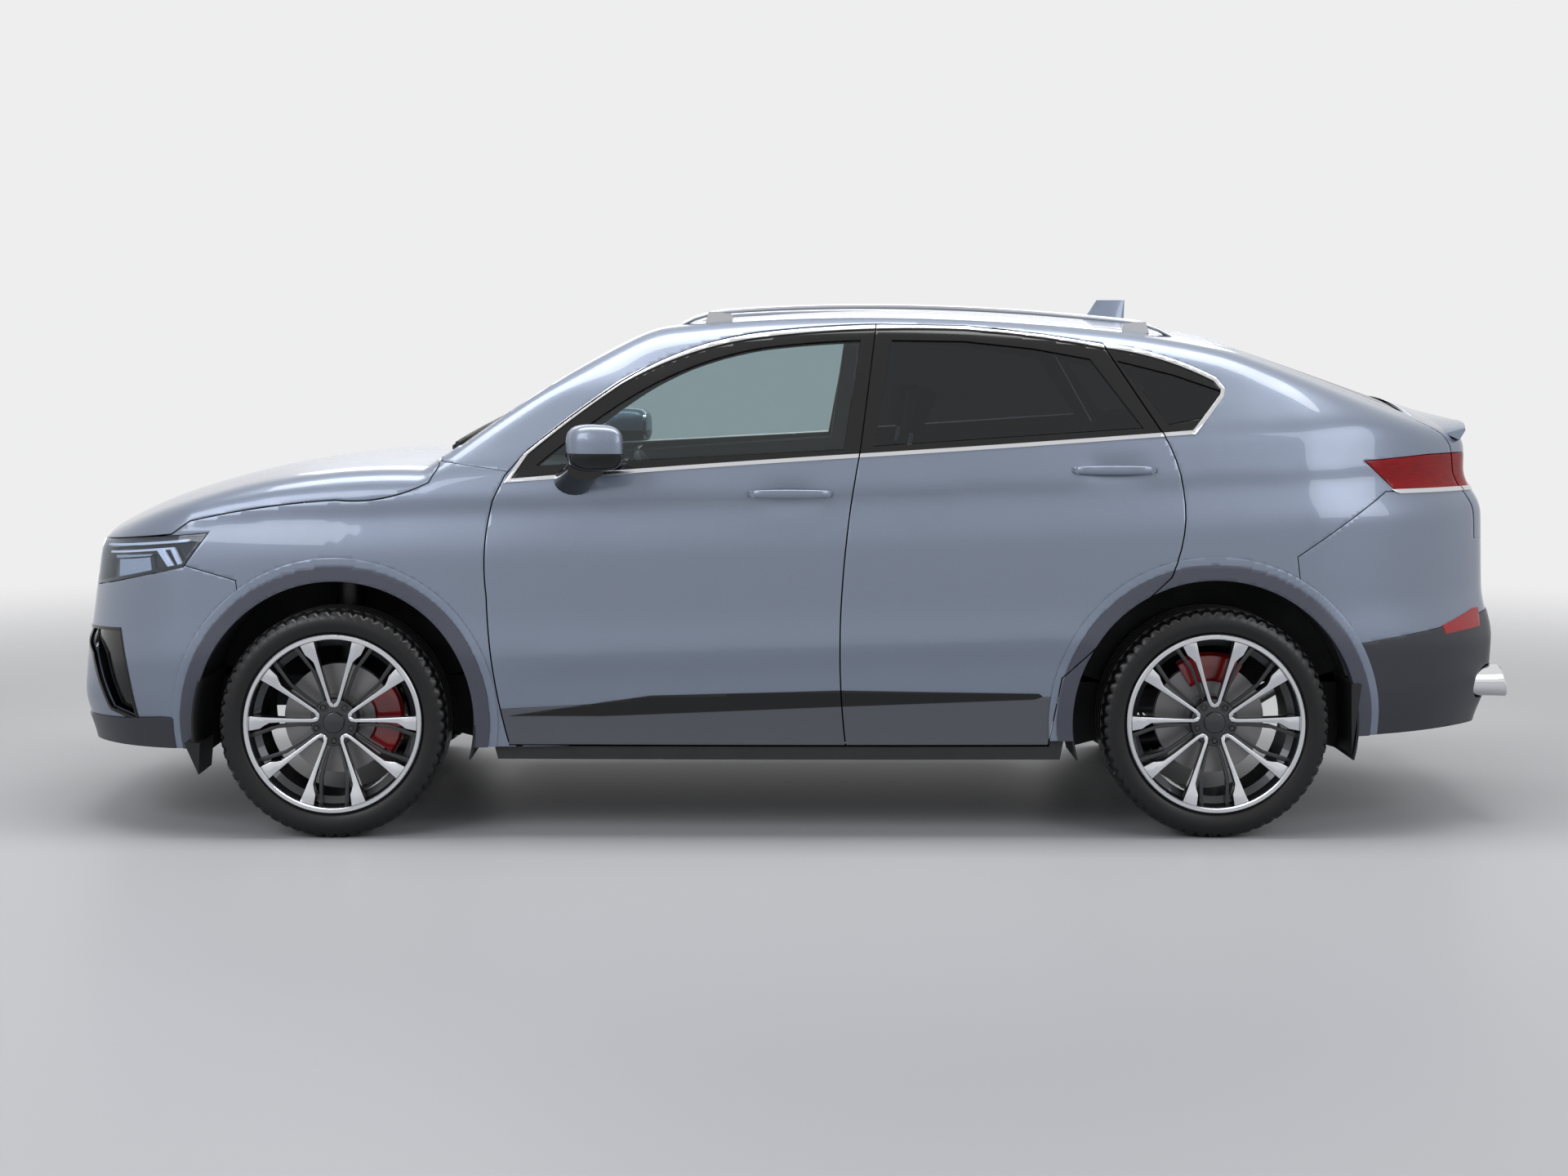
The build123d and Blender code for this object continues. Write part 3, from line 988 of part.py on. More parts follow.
# Files, with the right-hand pieces mirrored
wheel_places = {"front": FRONT_AXLE_X, "rear": REAR_AXLE_X}
for place, axle_x in wheel_places.items():
    for name, shape in (("tyre", tyre), ("wheel", joined(rim, disc))):
        left = at_wheel(shape, axle_x)
        save(left, f"{name}_{place}_left")
        save(mirrored(left), f"{name}_{place}_right")
for place in doors:
    for name, shape in (("door", doors[place]), ("door_glass", door_glasses[place])):
        save(shape, f"{name}_{place}_left")
        save(mirrored(shape), f"{name}_{place}_right")
for name, shape in {"mirror": mirror_left, "knuckle": knuckle_left,
                    "front_seat": front_seat_left}.items():
    save(shape, f"{name}_left")
    save(mirrored(shape), f"{name}_right")
rear_suspension = rear_beam + [
    rear_upright, mirrored(rear_upright), *rear_springs, *rear_links,
    *[mirrored(link) for link in rear_links]]
for name, shape in {
        "bonnet": bonnet, "tailgate": tailgate, "tailgate_glass": tailgate_glass,
        "tailgate_lamps": both(tailgate_lamp), "tail_lamps": both(tail_lamp),
        "headlamps": both(headlamp), "front_fenders": both(fender),
        "front_bumper": front_bumper, "front_valance": front_valance, "grille": grille,
        "rear_bumper": rear_bumper, "rear_valance": rear_valance,
        "body_sides": both(side_shell), "pillars": both(pillars), "roof": roof,
        "windscreen": windscreen, "cowl": cowl,
        "quarter_glass": both(quarter_glass), "arch_trim": arch_trim,
        "roof_rails": both(roof_rail), "wheel_liners": wheel_liners, "floor_pan": floor_pan,
        "engine": engine, "exhaust": exhaust, "front_subframe": front_subframe,
        "rear_axle": rear_suspension, "rear_seat": rear_seat, "dashboard": dashboard,
        "steering_wheel": steering_wheel}.items():
    save(shape, name)
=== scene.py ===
"""Looks of a five-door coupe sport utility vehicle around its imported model, in metres."""

import logging
from dataclasses import dataclass
from enum import Enum
from itertools import product
from math import cos, pi, radians, sin

import bmesh
import bpy
import numpy as np
from mathutils import Matrix, Vector


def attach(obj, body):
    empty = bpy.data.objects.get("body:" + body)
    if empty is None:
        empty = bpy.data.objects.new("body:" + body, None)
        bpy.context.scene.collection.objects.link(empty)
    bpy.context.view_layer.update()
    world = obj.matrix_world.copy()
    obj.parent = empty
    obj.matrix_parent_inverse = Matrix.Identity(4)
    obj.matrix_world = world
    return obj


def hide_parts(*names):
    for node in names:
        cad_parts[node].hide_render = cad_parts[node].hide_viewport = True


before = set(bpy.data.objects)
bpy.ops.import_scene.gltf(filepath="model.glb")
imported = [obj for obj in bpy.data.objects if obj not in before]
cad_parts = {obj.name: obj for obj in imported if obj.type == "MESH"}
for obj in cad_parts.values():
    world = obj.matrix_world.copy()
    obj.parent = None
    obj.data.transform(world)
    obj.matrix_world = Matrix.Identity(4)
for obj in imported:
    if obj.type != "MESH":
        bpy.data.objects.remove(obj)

Piece = bpy.types.Object
Array = np.ndarray
log = logging.getLogger("coupe")
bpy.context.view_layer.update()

# Driving sizes of the car, the same as the part's
WHEELBASE = 2.700
FRONT_OVERHANG = 0.905
REAR_OVERHANG = 1.000
HALF_WIDTH = 0.939
HEIGHT = 1.643
TYRE_RADIUS = 0.350
TYRE_WIDTH = 0.245
TRACK_HALF = 0.800
FRONT_AXLE_X = (WHEELBASE + REAR_OVERHANG - FRONT_OVERHANG) / 2
REAR_AXLE_X = FRONT_AXLE_X - WHEELBASE
FRONT_ARCH = 0.432
REAR_ARCH = 0.438
ARCH_TRIM = 0.072
SEAM = 0.0045  # a shut line as it shows from outside
REACH = 3.0  # by which cutters pass what they cut
SKIN_DEPTH = 0.016  # a painted panel with what backs it
EASED_EDGE = 0.0016  # of a pressed panel's rim

# Side rows of the body from the sill to the roof. Columns: height at the front axle and at
# the rear axle, half width at the front corner, mid length and rear corner, setback of the
# nose and of the tail.
ROW_SHARES = [
    (0.164, 0.183, 0.885, 0.950, 0.930, 0.050, 0.060),
    (0.243, 0.256, 0.905, 0.968, 0.955, 0.000, 0.012),
    (0.335, 0.359, 0.918, 0.977, 0.964, 0.012, 0.000),
    (0.400, 0.425, 0.912, 0.966, 0.958, 0.030, 0.030),
    (0.560, 0.600, 0.905, 0.961, 0.955, 0.062, 0.032),
    (0.625, 0.650, 0.880, 0.945, 0.938, 0.100, 0.082),
    (0.668, 0.752, 0.852, 0.918, 0.900, 0.150, 0.078),
    (0.830, 0.862, 0.560, 0.800, 0.752, 0.500, 0.100),
    (0.990, 0.990, 0.240, 0.619, 0.600, 0.900, 0.120),
]
FRONT_CORNER_SHARE = 1.555
SIDE_MIDDLE_SHARE = 0.594
REAR_CORNER_SHARE = -0.35
NOSE_PLAN_SHARES = [(1.931, 0.684), (1.80, 0.870)]
TAIL_PLAN_SHARES = [(-0.935, 0.652), (-0.76, 0.834)]
# Length profile: place along the car and height at the middle, setback and drop at the edge
PROFILE_SHARES = [
    (2.070, 0.510, 0.160, 0.020), (1.990, 0.536, 0.160, 0.020), (1.931, 0.551, 0.160, 0.020),
    (1.800, 0.590, 0.120, 0.024), (1.674, 0.619, 0.080, 0.026), (1.400, 0.662, 0.020, 0.028),
    (0.885, 0.704, -0.075, 0.030), (0.765, 0.842, -0.082, 0.030), (0.630, 0.9586, -0.090, 0.020),
    (0.390, 0.9872, -0.040, 0.034), (0.131, 0.971, 0.000, 0.048), (0.045, 0.958, 0.000, 0.058),
    (-0.100, 0.936, 0.030, 0.063), (-0.500, 0.852, 0.080, 0.062), (-0.9225, 0.7565, 0.200, 0.050),
    (-0.935, 0.748, 0.200, 0.050), (-1.100, 0.700, 0.200, 0.050),
]
SETBACK_SPLIT_SHARE = 0.3

# Seams in the side view. A third value of 1 marks a point on the arc between its neighbours.
FRONT_DOOR_SHARES = [
    (0.800, 0.172), (0.8185, 0.315, 1), (0.826, 0.450), (0.828, 0.540, 1), (0.820, 0.625),
    (0.8065, 0.672), (0.786, 0.712), (0.730, 0.784, 1), (0.677, 0.845), (0.596, 0.909, 1),
    (0.515, 0.941), (0.450, 0.951, 1), (0.3815, 0.956), (0.403, 0.718),
    (0.4165, 0.586, 1), (0.4245, 0.450), (0.4265, 0.330, 1), (0.420, 0.172)]
REAR_DOOR_SHARES = [
    (0.460, 0.172), (0.460, 0.600), (0.3815, 0.956), (0.279, 0.953), (0.190, 0.937),
    (0.1185, 0.918), (0.057, 0.751), (0.037, 0.660, 1), (0.051, 0.486), (0.175, 0.299),
    (0.190, 0.172)]
FRONT_WINDOW_SHARES = [
    (0.772, 0.692), (0.718, 0.762, 1), (0.668, 0.818), (0.588, 0.882, 1), (0.512, 0.914),
    (0.450, 0.924, 1), (0.399, 0.928), (0.4205, 0.722)]
REAR_WINDOW_SHARES = [
    (0.3865, 0.728), (0.363, 0.928), (0.279, 0.926), (0.200, 0.912), (0.134, 0.892),
    (0.078, 0.762)]
QUARTER_WINDOW_SHARES = [
    (0.0485, 0.768), (0.103, 0.889), (0.038, 0.862), (-0.040, 0.832), (-0.075, 0.815),
    (-0.020, 0.786)]
# The glazed field with its dark frames, inside the bright moulding
GLAZING_SHARES = [
    (0.8000, 0.667), (0.782, 0.7115), (0.730, 0.780, 1), (0.677, 0.842), (0.596, 0.902, 1),
    (0.515, 0.932), (0.4148, 0.946, 1), (0.279, 0.947), (0.190, 0.9318, 1), (0.1185, 0.912),
    (0.038, 0.882, 1), (-0.0205, 0.849), (-0.040, 0.833), (-0.036, 0.823), (0.022, 0.757),
    (0.1676, 0.7396, 1), (0.404, 0.714), (0.582, 0.6945, 1)]
BONNET_SHARES = [
    (0.885, 0.800), (0.885, 0.690), (0.895, 0.661), (0.930, 0.638, 1), (1.000, 0.628),
    (1.300, 0.610, 1), (1.502, 0.588), (1.566, 0.563), (1.856, 0.545), (2.300, 0.540),
    (2.300, 0.800)]
HEADLAMP_SHARES = [
    (1.438, 0.564), (1.856, 0.545), (2.300, 0.541), (2.300, 0.452), (1.885, 0.456),
    (1.519, 0.502)]
FENDER_SHARES = [
    (0.785, 0.100), (1.650, 0.100), (1.650, 0.620), (0.890, 0.700), (0.795, 0.678)]
FRONT_BUMPER_SHARES = [
    (1.519, 0.504), (1.339, 0.476), (1.250, 0.100), (2.300, 0.100), (2.300, 0.560),
    (1.600, 0.560)]
REAR_BUMPER_SHARES = [
    (-0.253, 0.522), (-0.542, 0.641), (-1.200, 0.641), (-1.200, 0.100), (-0.330, 0.100)]
TAIL_LAMP_SHARES = [
    (-0.476, 0.699), (-0.700, 0.708), (-1.200, 0.712), (-1.200, 0.644), (-0.580, 0.642)]
FRONT_VALANCE_SHARES = [
    (1.300, 0.210), (1.600, 0.219), (1.900, 0.205), (2.300, 0.205), (2.300, 0.050),
    (1.300, 0.050)]
REAR_VALANCE_SHARES = [
    (-0.330, 0.351), (-0.722, 0.383), (-0.914, 0.405), (-1.200, 0.405), (-1.200, 0.050),
    (-0.330, 0.050)]
# The satin lower band of the doors, and the glossy strip in it
BAND_SHARES = [
    (0.900, 0.232), (0.600, 0.256), (0.400, 0.265), (0.180, 0.262), (0.100, 0.262),
    (0.100, 0.100), (0.900, 0.100)]
STRIP_SHARES = [
    (0.800, 0.226), (0.640, 0.2645), (0.426, 0.2745), (0.200, 0.2684), (0.196, 0.263),
    (0.205, 0.258), (0.426, 0.2446), (0.693, 0.226)]
FOG_SHARES = [
    (1.953, 0.370), (1.765, 0.376), (1.695, 0.214), (1.795, 0.229), (1.848, 0.283),
    (1.882, 0.328)]
# Ends of the body, as shares across and up
GRILLE_SHARES = [(0.470, 0.532), (0.500, 0.470), (0.380, 0.395)]
INTAKE_SHARES = [(0.520, 0.325), (0.440, 0.225)]
WINDSCREEN_SHARES = [(0.860, 0.640), (0.845, 0.700), (0.700, 0.850), (0.580, 0.940)]
TAILGATE_SHARES = [(0.665, 0.545), (0.665, 0.757), (0.555, 0.990)]
REAR_WINDOW_SHARES_PLAN = [(-0.125, 0.520), (-0.690, 0.590)]
TAILGATE_HINGE_SHARE = -0.075
WINDSCREEN_HEAD_SHARE = 0.550
WINDSCREEN_FOOT_SHARE = 0.862
ROOF_FRONT_SHARE = 0.680
ROOF_WIDE_SHARE = 0.56
LAMP_INNER_SHARE = 0.520
TAIL_LAMP_INNER_SHARE = 0.330
PIPE_SHARES = (0.511, 0.639)
PIPE_HEIGHT_SHARE = 0.269
PIPE_HOLE = 0.054  # radius of a pipe's opening in the bumper
PIPE_TURNS = 48
COWL = (1.0255, 1.081)  # from the windscreen's foot to the bonnet
ABOVE_COWL = (0.98, 2)
ABOVE_ROOF = (1.3, 2)
HANDLE_SHARES = {"front": (0.482, 0.640), "rear": (0.113, 0.684)}


def along(share: float) -> float:
    """Place along the car: 0 rear axle, 1 front axle, 2 nose, -1 tail."""
    if share > 1:
        return FRONT_AXLE_X + (share - 1) * FRONT_OVERHANG
    if share < 0:
        return REAR_AXLE_X + share * REAR_OVERHANG
    return REAR_AXLE_X + share * WHEELBASE


def up(share: float) -> float:
    """Height above the ground of a share of the car's height."""
    return share * HEIGHT


def across(share: float) -> float:
    """Distance from the middle of a share of the half width."""
    return share * HALF_WIDTH


def arc_points(start: Array, middle: Array, end: Array, count: int) -> Array:
    """Points on the arc through three plane points, without its end.

    Args:
        start: first point.
        middle: a point on the arc.
        end: last point.
        count: how many steps the arc takes.

    Returns:
        The points, one a row.
    """
    ax, ay = middle - start
    bx, by = end - start
    turn = 2 * (ax * by - ay * bx)
    shares = np.linspace(0, 1, count, endpoint=False)[:, None]
    if abs(turn) < 1e-7:
        return start + (end - start) * shares
    aa, bb = ax * ax + ay * ay, bx * bx + by * by
    centre = start + np.array([by * aa - ay * bb, ax * bb - bx * aa]) / turn
    radius = np.hypot(*(start - centre))
    angles = [np.arctan2(*(p - centre)[::-1]) for p in (start, middle, end)]
    sweep = (angles[2] - angles[0]) % (2 * pi)
    if (angles[1] - angles[0]) % (2 * pi) > sweep:
        sweep -= 2 * pi
    swept = angles[0] + sweep * shares[:, 0]
    return centre + radius * np.column_stack([np.cos(swept), np.sin(swept)])


ARC_STEPS = 10


def round_turns(count: int) -> Array:
    """Angles spread evenly round a full circle."""
    return np.linspace(0, 2 * pi, count, endpoint=False)


def squared(turn: float, power: float) -> tuple:
    """A point on a rounded square of half width 1, squarer for a smaller power."""
    return tuple(np.sign(f(turn)) * abs(f(turn)) ** power for f in (cos, sin))


def grown(points: Array, grow: float) -> Array:
    """A closed outline moved outwards by a distance, or inwards where it is negative."""
    before = points - np.roll(points, 1, 0)
    after = np.roll(points, -1, 0) - points
    area = np.sum(points[:, 0] * np.roll(points[:, 1], -1) - np.roll(points[:, 0], -1) * points[:, 1])
    before /= np.linalg.norm(before, axis=1)[:, None] + 1e-12
    after /= np.linalg.norm(after, axis=1)[:, None] + 1e-12
    mean = before + after
    mean /= np.linalg.norm(mean, axis=1)[:, None] + 1e-12
    reach = np.sign(area) * grow / np.maximum((mean * after).sum(1), 0.5)
    return points + reach[:, None] * np.column_stack([mean[:, 1], -mean[:, 0]])


def side_outline(shares: list, grow: float = 0) -> Array:
    """The XZ outline of a table of shares, with its arcs drawn, grown by a distance."""
    flat = np.array([(along(p[0]), up(p[1])) for p in shares])
    count = len(flat)
    drawn = []
    for i, point in enumerate(flat):
        if len(shares[i]) > 2:
            continue
        following = (i + 1) % count
        if len(shares[following]) > 2:
            drawn.append(arc_points(point, flat[following], flat[(i + 2) % count], ARC_STEPS))
        else:
            drawn.append(point[None])
    return grown(np.vstack(drawn), grow)


def end_outline(shares: list, grow: float = 0) -> Array:
    """The YZ outline of a table of shares, mirrored about the middle, grown by a distance."""
    half = [(across(y), up(z)) for y, z in shares]
    points = np.array(half + [(-y, z) for y, z in reversed(half)])
    return grown(points, grow)


def arch_outline(axle_x: float, radius: float) -> Array:
    """A wheel opening's circle in the side view."""
    turns = round_turns(96)
    return np.column_stack([axle_x + radius * np.cos(turns), TYRE_RADIUS + radius * np.sin(turns)])


def sampled(table: Array, x: Array, y: Array, x_axis: Array,
            y_axis: Array) -> Array:
    """A table read between its grid points.

    Args:
        table: values on the grid, x down and y across.
        x: places along the first axis.
        y: places along the second axis.
        x_axis: the evenly spaced places of the rows.
        y_axis: the evenly spaced places of the columns.

    Returns:
        The values at the places asked.
    """
    u = np.clip((x - x_axis[0]) / (x_axis[1] - x_axis[0]), 0, len(x_axis) - 1.001)
    v = np.clip((y - y_axis[0]) / (y_axis[1] - y_axis[0]), 0, len(y_axis) - 1.001)
    i, j = u.astype(int), v.astype(int)
    a, b = u - i, v - j
    low = table[i, j] * (1 - b) + table[i, j + 1] * b
    high = table[i + 1, j] * (1 - b) + table[i + 1, j + 1] * b
    return low * (1 - a) + high * a


@dataclass
class BodyForm:
    """The outer surface of the body, as a field that is below 0 inside it."""

    front_turn: float = 1.250  # where the side starts to turn into the nose
    rear_turn: float = -1.250
    soften: float = 0.030  # by which the side's rows are eased up and down
    corner: float = 0.055  # easing between the side and the top

    def __post_init__(self) -> None:
        """Fill the tables of the side's reach and the top's height."""
        self.turn_axis = np.linspace(0, 1, 361)
        self.height_axis = np.linspace(0.15, 1.75, 401)
        self.reach_table = self.side_table()
        self.x_axis = np.linspace(-2.5, 2.5, 1001)
        self.bow_axis = np.linspace(0, 1.1, 23)
        self.top_table = self.profile_table()

    def spine(self, turn: Array) -> tuple:
        """The inner place and the direction of each place round the side.

        Args:
            turn: 0 at the nose, 1 at the tail.

        Returns:
            Spine places along X, and the direction's X and Y.
        """
        fan = 0.2
        x = np.interp(turn, [fan, 1 - fan], [self.front_turn, self.rear_turn])
        angle = np.interp(turn, [0, fan, 1 - fan, 1], [0, pi / 2, pi / 2, pi])
        return x, np.cos(angle), np.sin(angle)

    def turn_of(self, x: Array, y: Array) -> tuple:
        """The place round the side of a point, and its distance from the spine."""
        fan = 0.2
        spine_x = np.clip(x, self.rear_turn, self.front_turn)
        angle = np.arctan2(np.abs(y), x - spine_x)
        middle = np.interp(-x, [-self.front_turn, -self.rear_turn], [fan, 1 - fan])
        turn = np.where(x > self.front_turn, angle / (pi / 2) * fan,
                        np.where(x < self.rear_turn, 1 - (pi - angle) / (pi / 2) * fan, middle))
        return turn, np.hypot(x - spine_x, y)

    @staticmethod
    def plan_of(row: tuple) -> Array:
        """The plan curve of a side row, from the middle of the nose to that of the tail."""
        _, _, front_wide, middle_wide, rear_wide, nose_set, tail_set = row
        nose, tail = nose_set * FRONT_OVERHANG, tail_set * REAR_OVERHANG
        (end_f, end_f_part), (mid_f, mid_f_part) = NOSE_PLAN_SHARES
        (end_r, end_r_part), (mid_r, mid_r_part) = TAIL_PLAN_SHARES
        p = [(along(2) - nose, 0), (along(end_f) - nose, across(front_wide) * end_f_part),
             (along(mid_f) - nose, across(front_wide) * mid_f_part),
             (along(FRONT_CORNER_SHARE) - nose / 2, across(front_wide)),
             (along(SIDE_MIDDLE_SHARE), across(middle_wide)),
             (along(REAR_CORNER_SHARE) + tail / 2, across(rear_wide)),
             (along(mid_r) + tail, across(rear_wide) * mid_r_part),
             (along(end_r) + tail, across(rear_wide) * end_r_part), (along(-1) + tail, 0)]
        p = np.array(p)
        flip = np.array([1, -1])
        nose_arc = arc_points(p[1] * flip, p[0], p[1], 80)[40:]
        tail_arc = arc_points(p[7], p[8], p[7] * flip, 80)[:41]
        sides = [arc_points(*p[i:i + 3], 60) for i in (1, 3, 5)]
        return np.vstack([nose_arc, *sides, tail_arc])

    def side_table(self) -> Array:
        """The side's distance from the spine by place round it and height."""
        rows = []
        for row in ROW_SHARES:
            plan = self.plan_of(row)
            turn, reach = self.turn_of(plan[:, 0], plan[:, 1])
            order = np.argsort(turn)
            rows.append(np.interp(self.turn_axis, turn[order], reach[order]))
        rows = np.array(rows)
        spine_x, side_x, _ = self.spine(self.turn_axis)
        table = np.empty((len(self.turn_axis), len(self.height_axis)))
        for i in range(len(self.turn_axis)):
            x = spine_x[i] + side_x[i] * rows[4, i]
            knots = [up(r[0] + (r[0] - r[1]) * (x - FRONT_AXLE_X) / WHEELBASE) for r in ROW_SHARES]
            reaches = [np.interp(self.height_axis + d * self.soften, knots, rows[:, i])
                       for d in np.linspace(-1, 1, 9)]
            below = np.maximum(knots[0] - self.height_axis, 0) * 0.12
            table[i] = np.mean(reaches, 0) - below
        return table

    def profile_table(self) -> Array:
        """The top's height by place along the car and bow across it."""
        table = np.empty((len(self.x_axis), len(self.bow_axis)))
        for j, bow in enumerate(self.bow_axis):
            points = np.array([
                (along(x) - bow * back * (FRONT_OVERHANG if x > SETBACK_SPLIT_SHARE
                                          else -REAR_OVERHANG), up(z - bow * drop))
                for x, z, back, drop in PROFILE_SHARES])
            drawn = [arc_points(*points[i:i + 3], 40) for i in range(0, len(points) - 2, 2)]
            curve = np.vstack(drawn + [points[-1:]])[::-1]
            ease = np.where(np.abs(self.x_axis - 1.05) < 0.12, 0.004, 0.05)
            ease = np.where(self.x_axis < -2.12, 0.008, ease)
            heights = [np.interp(self.x_axis + d * ease, curve[:, 0], curve[:, 1])
                       for d in np.linspace(-1, 1, 9)]
            table[:, j] = np.mean(heights, 0)
        return table

    def crease(self, x: Array, z: Array) -> Array:
        """Outward swell of the pressed lines on the body's side."""
        # shoulder: a ridge that rises towards the tail, with a hollow below it
        ridge = np.interp(x, [-2.1, -1.0, 0.0, 0.9, 1.6, 2.1],
                          [1.130, 1.085, 1.045, 1.025, 1.000, 0.95])
        below = (ridge - z) / 0.15
        weight = np.interp(x, [-2.0, -1.3, -0.6, 1.0, 1.9, 2.1], [0.2, 0.7, 1, 1, 0.6, 0.0])
        hollow = np.where((below > 0) & (below < 1), np.sin(np.clip(below, 0, 1) ** 0.45 * pi), 0)
        # ridge along the lower doors, the skin turns in under it
        foot = np.interp(x, [-0.85, -0.2, 0.9], [0.598, 0.575, 0.530])
        under = np.clip((foot - z) / 0.060, 0, 1)
        above = np.clip(1 - (z - foot) / 0.11, 0, 1) * (z > foot)
        lower = np.interp(x, [-0.95, -0.80, 0.70, 0.95], [0, 1, 1, 0])
        fold = under * under * (3 - 2 * under)
        cup = sum(np.exp(-((x - along(share)) / 0.085) ** 4 - ((z - up(high)) / 0.030) ** 2)
                  for share, high in HANDLE_SHARES.values())
        swell = 0.004 * lower * above * above
        return (swell - 0.014 * cup - 0.014 * weight * hollow
                - 0.012 * lower * fold * np.clip((z - 0.22) / 0.1, 0, 1))

    def field(self, p: Array) -> Array:
        """The field at points given one a row."""
        x, y, z = p.T
        turn, distance = self.turn_of(x, y)
        reach = sampled(self.reach_table, turn, z, self.turn_axis, self.height_axis)
        reach = reach + self.crease(x, z)
        top = sampled(self.top_table, x, (y / HALF_WIDTH) ** 2, self.x_axis, self.bow_axis)
        side, above = distance - reach, (z - top) * 0.9
        k = self.corner * np.interp(x, [-2.25, -2.0, 1.9, 2.2], [0.35, 1, 1, 0.7])
        mix = np.clip(0.5 + 0.5 * (side - above) / k, 0, 1)
        return above * (1 - mix) + side * mix + k * mix * (1 - mix)

    def solve(self, start: Array, heading: Array, inset: float = 0) -> Array:
        """Points where rays leave the body.

        Args:
            start: the rays' inner ends, one a row.
            heading: their directions.
            inset: how far inside the surface to stop.

        Returns:
            The points, one a row.
        """
        near = np.zeros(len(start))
        far = np.full(len(start), 2.6)
        for _ in range(26):
            half = (near + far) / 2
            inside = self.field(start + heading * half[:, None]) < -inset
            near = np.where(inside, half, near)
            far = np.where(inside, far, half)
        return start + heading * near[:, None]


class Sheet(Enum):
    """How a sheet of the body's surface is laid out."""

    ACROSS = "rays in planes across the car"
    ROUND = "rays round the car at each height"
    LENGTHWISE = "rays in planes along the car"


FORM = BodyForm()


def skin_above(x: Array, y: Array, low: float = 0.9) -> Array:
    """Points of the body's top above places in plan, sought from a height inside it."""
    start = np.column_stack([x, y, 0 * y + low])
    return FORM.solve(start, np.tile([0.0, 0.0, 1.0], (len(y), 1)))


def deselect() -> None:
    """Leave nothing selected."""
    for obj in bpy.context.selected_objects:
        obj.select_set(False)


def activate(*objects: Piece) -> None:
    """Select these objects alone, the first of them active."""
    deselect()
    for obj in objects:
        obj.select_set(True)
    bpy.context.view_layer.objects.active = objects[0]


def add_mesh(name: str, vertices: list, faces: list) -> Piece:
    """A mesh object from its points and faces, in the scene."""
    mesh = bpy.data.meshes.new(name)
    mesh.from_pydata([tuple(v) for v in vertices], [], faces)
    mesh.update()
    obj = bpy.data.objects.new(name, mesh)
    bpy.context.scene.collection.objects.link(obj)
    return obj


def modify(obj: Piece, kind: str, **settings: object) -> None:
    """Add a modifier with its settings and apply it."""
    modifier = obj.modifiers.new(kind, kind)
    for key, value in settings.items():
        setattr(modifier, key, value)
    activate(obj)
    bpy.ops.object.modifier_apply(modifier=modifier.name)


def recalculate(obj: Piece, merge: float = 0.00005) -> None:
    """Merge doubles and turn the faces outwards."""
    mesh = bmesh.new()
    mesh.from_mesh(obj.data)
    bmesh.ops.remove_doubles(mesh, verts=mesh.verts, dist=merge)
    bmesh.ops.recalc_face_normals(mesh, faces=mesh.faces)
    mesh.to_mesh(obj.data)
    mesh.free()


def smooth(obj: Piece, angle: float = 35) -> None:
    """Shade smooth across edges below an angle."""
    activate(obj)
    bpy.ops.object.shade_smooth_by_angle(angle=radians(angle))


def sheet(kind: Sheet, first: tuple, second: tuple, inset: float = 0,
          origin: float = 0.9) -> Piece:
    """An open sheet of the body's surface on an even grid.

    Args:
        kind: how the grid is laid out.
        first: start, end and count of the first run: X, round share or Y.
        second: start, end and count of the second run: degrees, height or degrees.
        inset: how far inside the surface it lies.
        origin: height of the line that rays start from.

    Returns:
        The sheet, facing outwards.
    """
    u, v = np.linspace(*first), np.linspace(*second)
    grid_u, grid_v = (g.ravel() for g in np.meshgrid(u, v))
    zero = np.zeros_like(grid_u)
    if kind is Sheet.ACROSS:
        start = np.column_stack([grid_u, zero, zero + origin])
        turn = np.radians(grid_v)
        heading = np.column_stack([zero, np.cos(turn), np.sin(turn)])
    elif kind is Sheet.ROUND:
        beyond = np.abs(grid_u) > 1
        x, side_x, side_y = FORM.spine(np.where(beyond, 2 - grid_u, np.abs(grid_u)))
        start = np.column_stack([x, zero, grid_v])
        heading = np.column_stack([side_x, side_y * np.where(beyond | (grid_u < 0), -1, 1), zero])
    else:
        start = np.column_stack([zero - 1.45, grid_u, zero + origin])
        turn = np.radians(grid_v)
        heading = np.column_stack([-np.cos(turn), zero, np.sin(turn)])
    grid = FORM.solve(start, heading, inset).reshape(second[2], first[2], 3)
    for _ in range(3):  # ease the facets of the tables that the form is read from
        grid[1:-1] = (grid[:-2] + 2 * grid[1:-1] + grid[2:]) / 4
        grid[:, 1:-1] = (grid[:, :-2] + 2 * grid[:, 1:-1] + grid[:, 2:]) / 4
    deselect()
    bpy.ops.mesh.primitive_grid_add(x_subdivisions=first[2] - 1, y_subdivisions=second[2] - 1)
    obj = bpy.context.object
    obj.data.vertices.foreach_set("co", grid.astype(np.float32).ravel())
    obj.data.update()
    middle = obj.data.polygons[len(obj.data.polygons) // 2]
    outward = Vector(middle.center) - Vector((middle.center.x * 0.5, 0, 0.6))
    if middle.normal.dot(outward) < 0:
        obj.data.flip_normals()
    return obj


def prism(points: Array, axis: str, low: float = -REACH, high: float = REACH) -> Piece:
    """A closed cutter drawn from a plane outline along an axis."""
    place = {"Y": lambda a, b, d: (a, d, b), "X": lambda a, b, d: (d, a, b),
             "Z": lambda a, b, d: (a, b, d)}[axis]
    count = len(points)
    vertices = [place(a, b, d) for d in (low, high) for a, b in points]
    faces = [tuple(range(count)), tuple(range(2 * count - 1, count - 1, -1))]
    faces += [(i, i + count, (i + 1) % count + count, (i + 1) % count) for i in range(count)]
    obj = add_mesh("cutter", vertices, faces)
    recalculate(obj, 1e-7)
    return obj


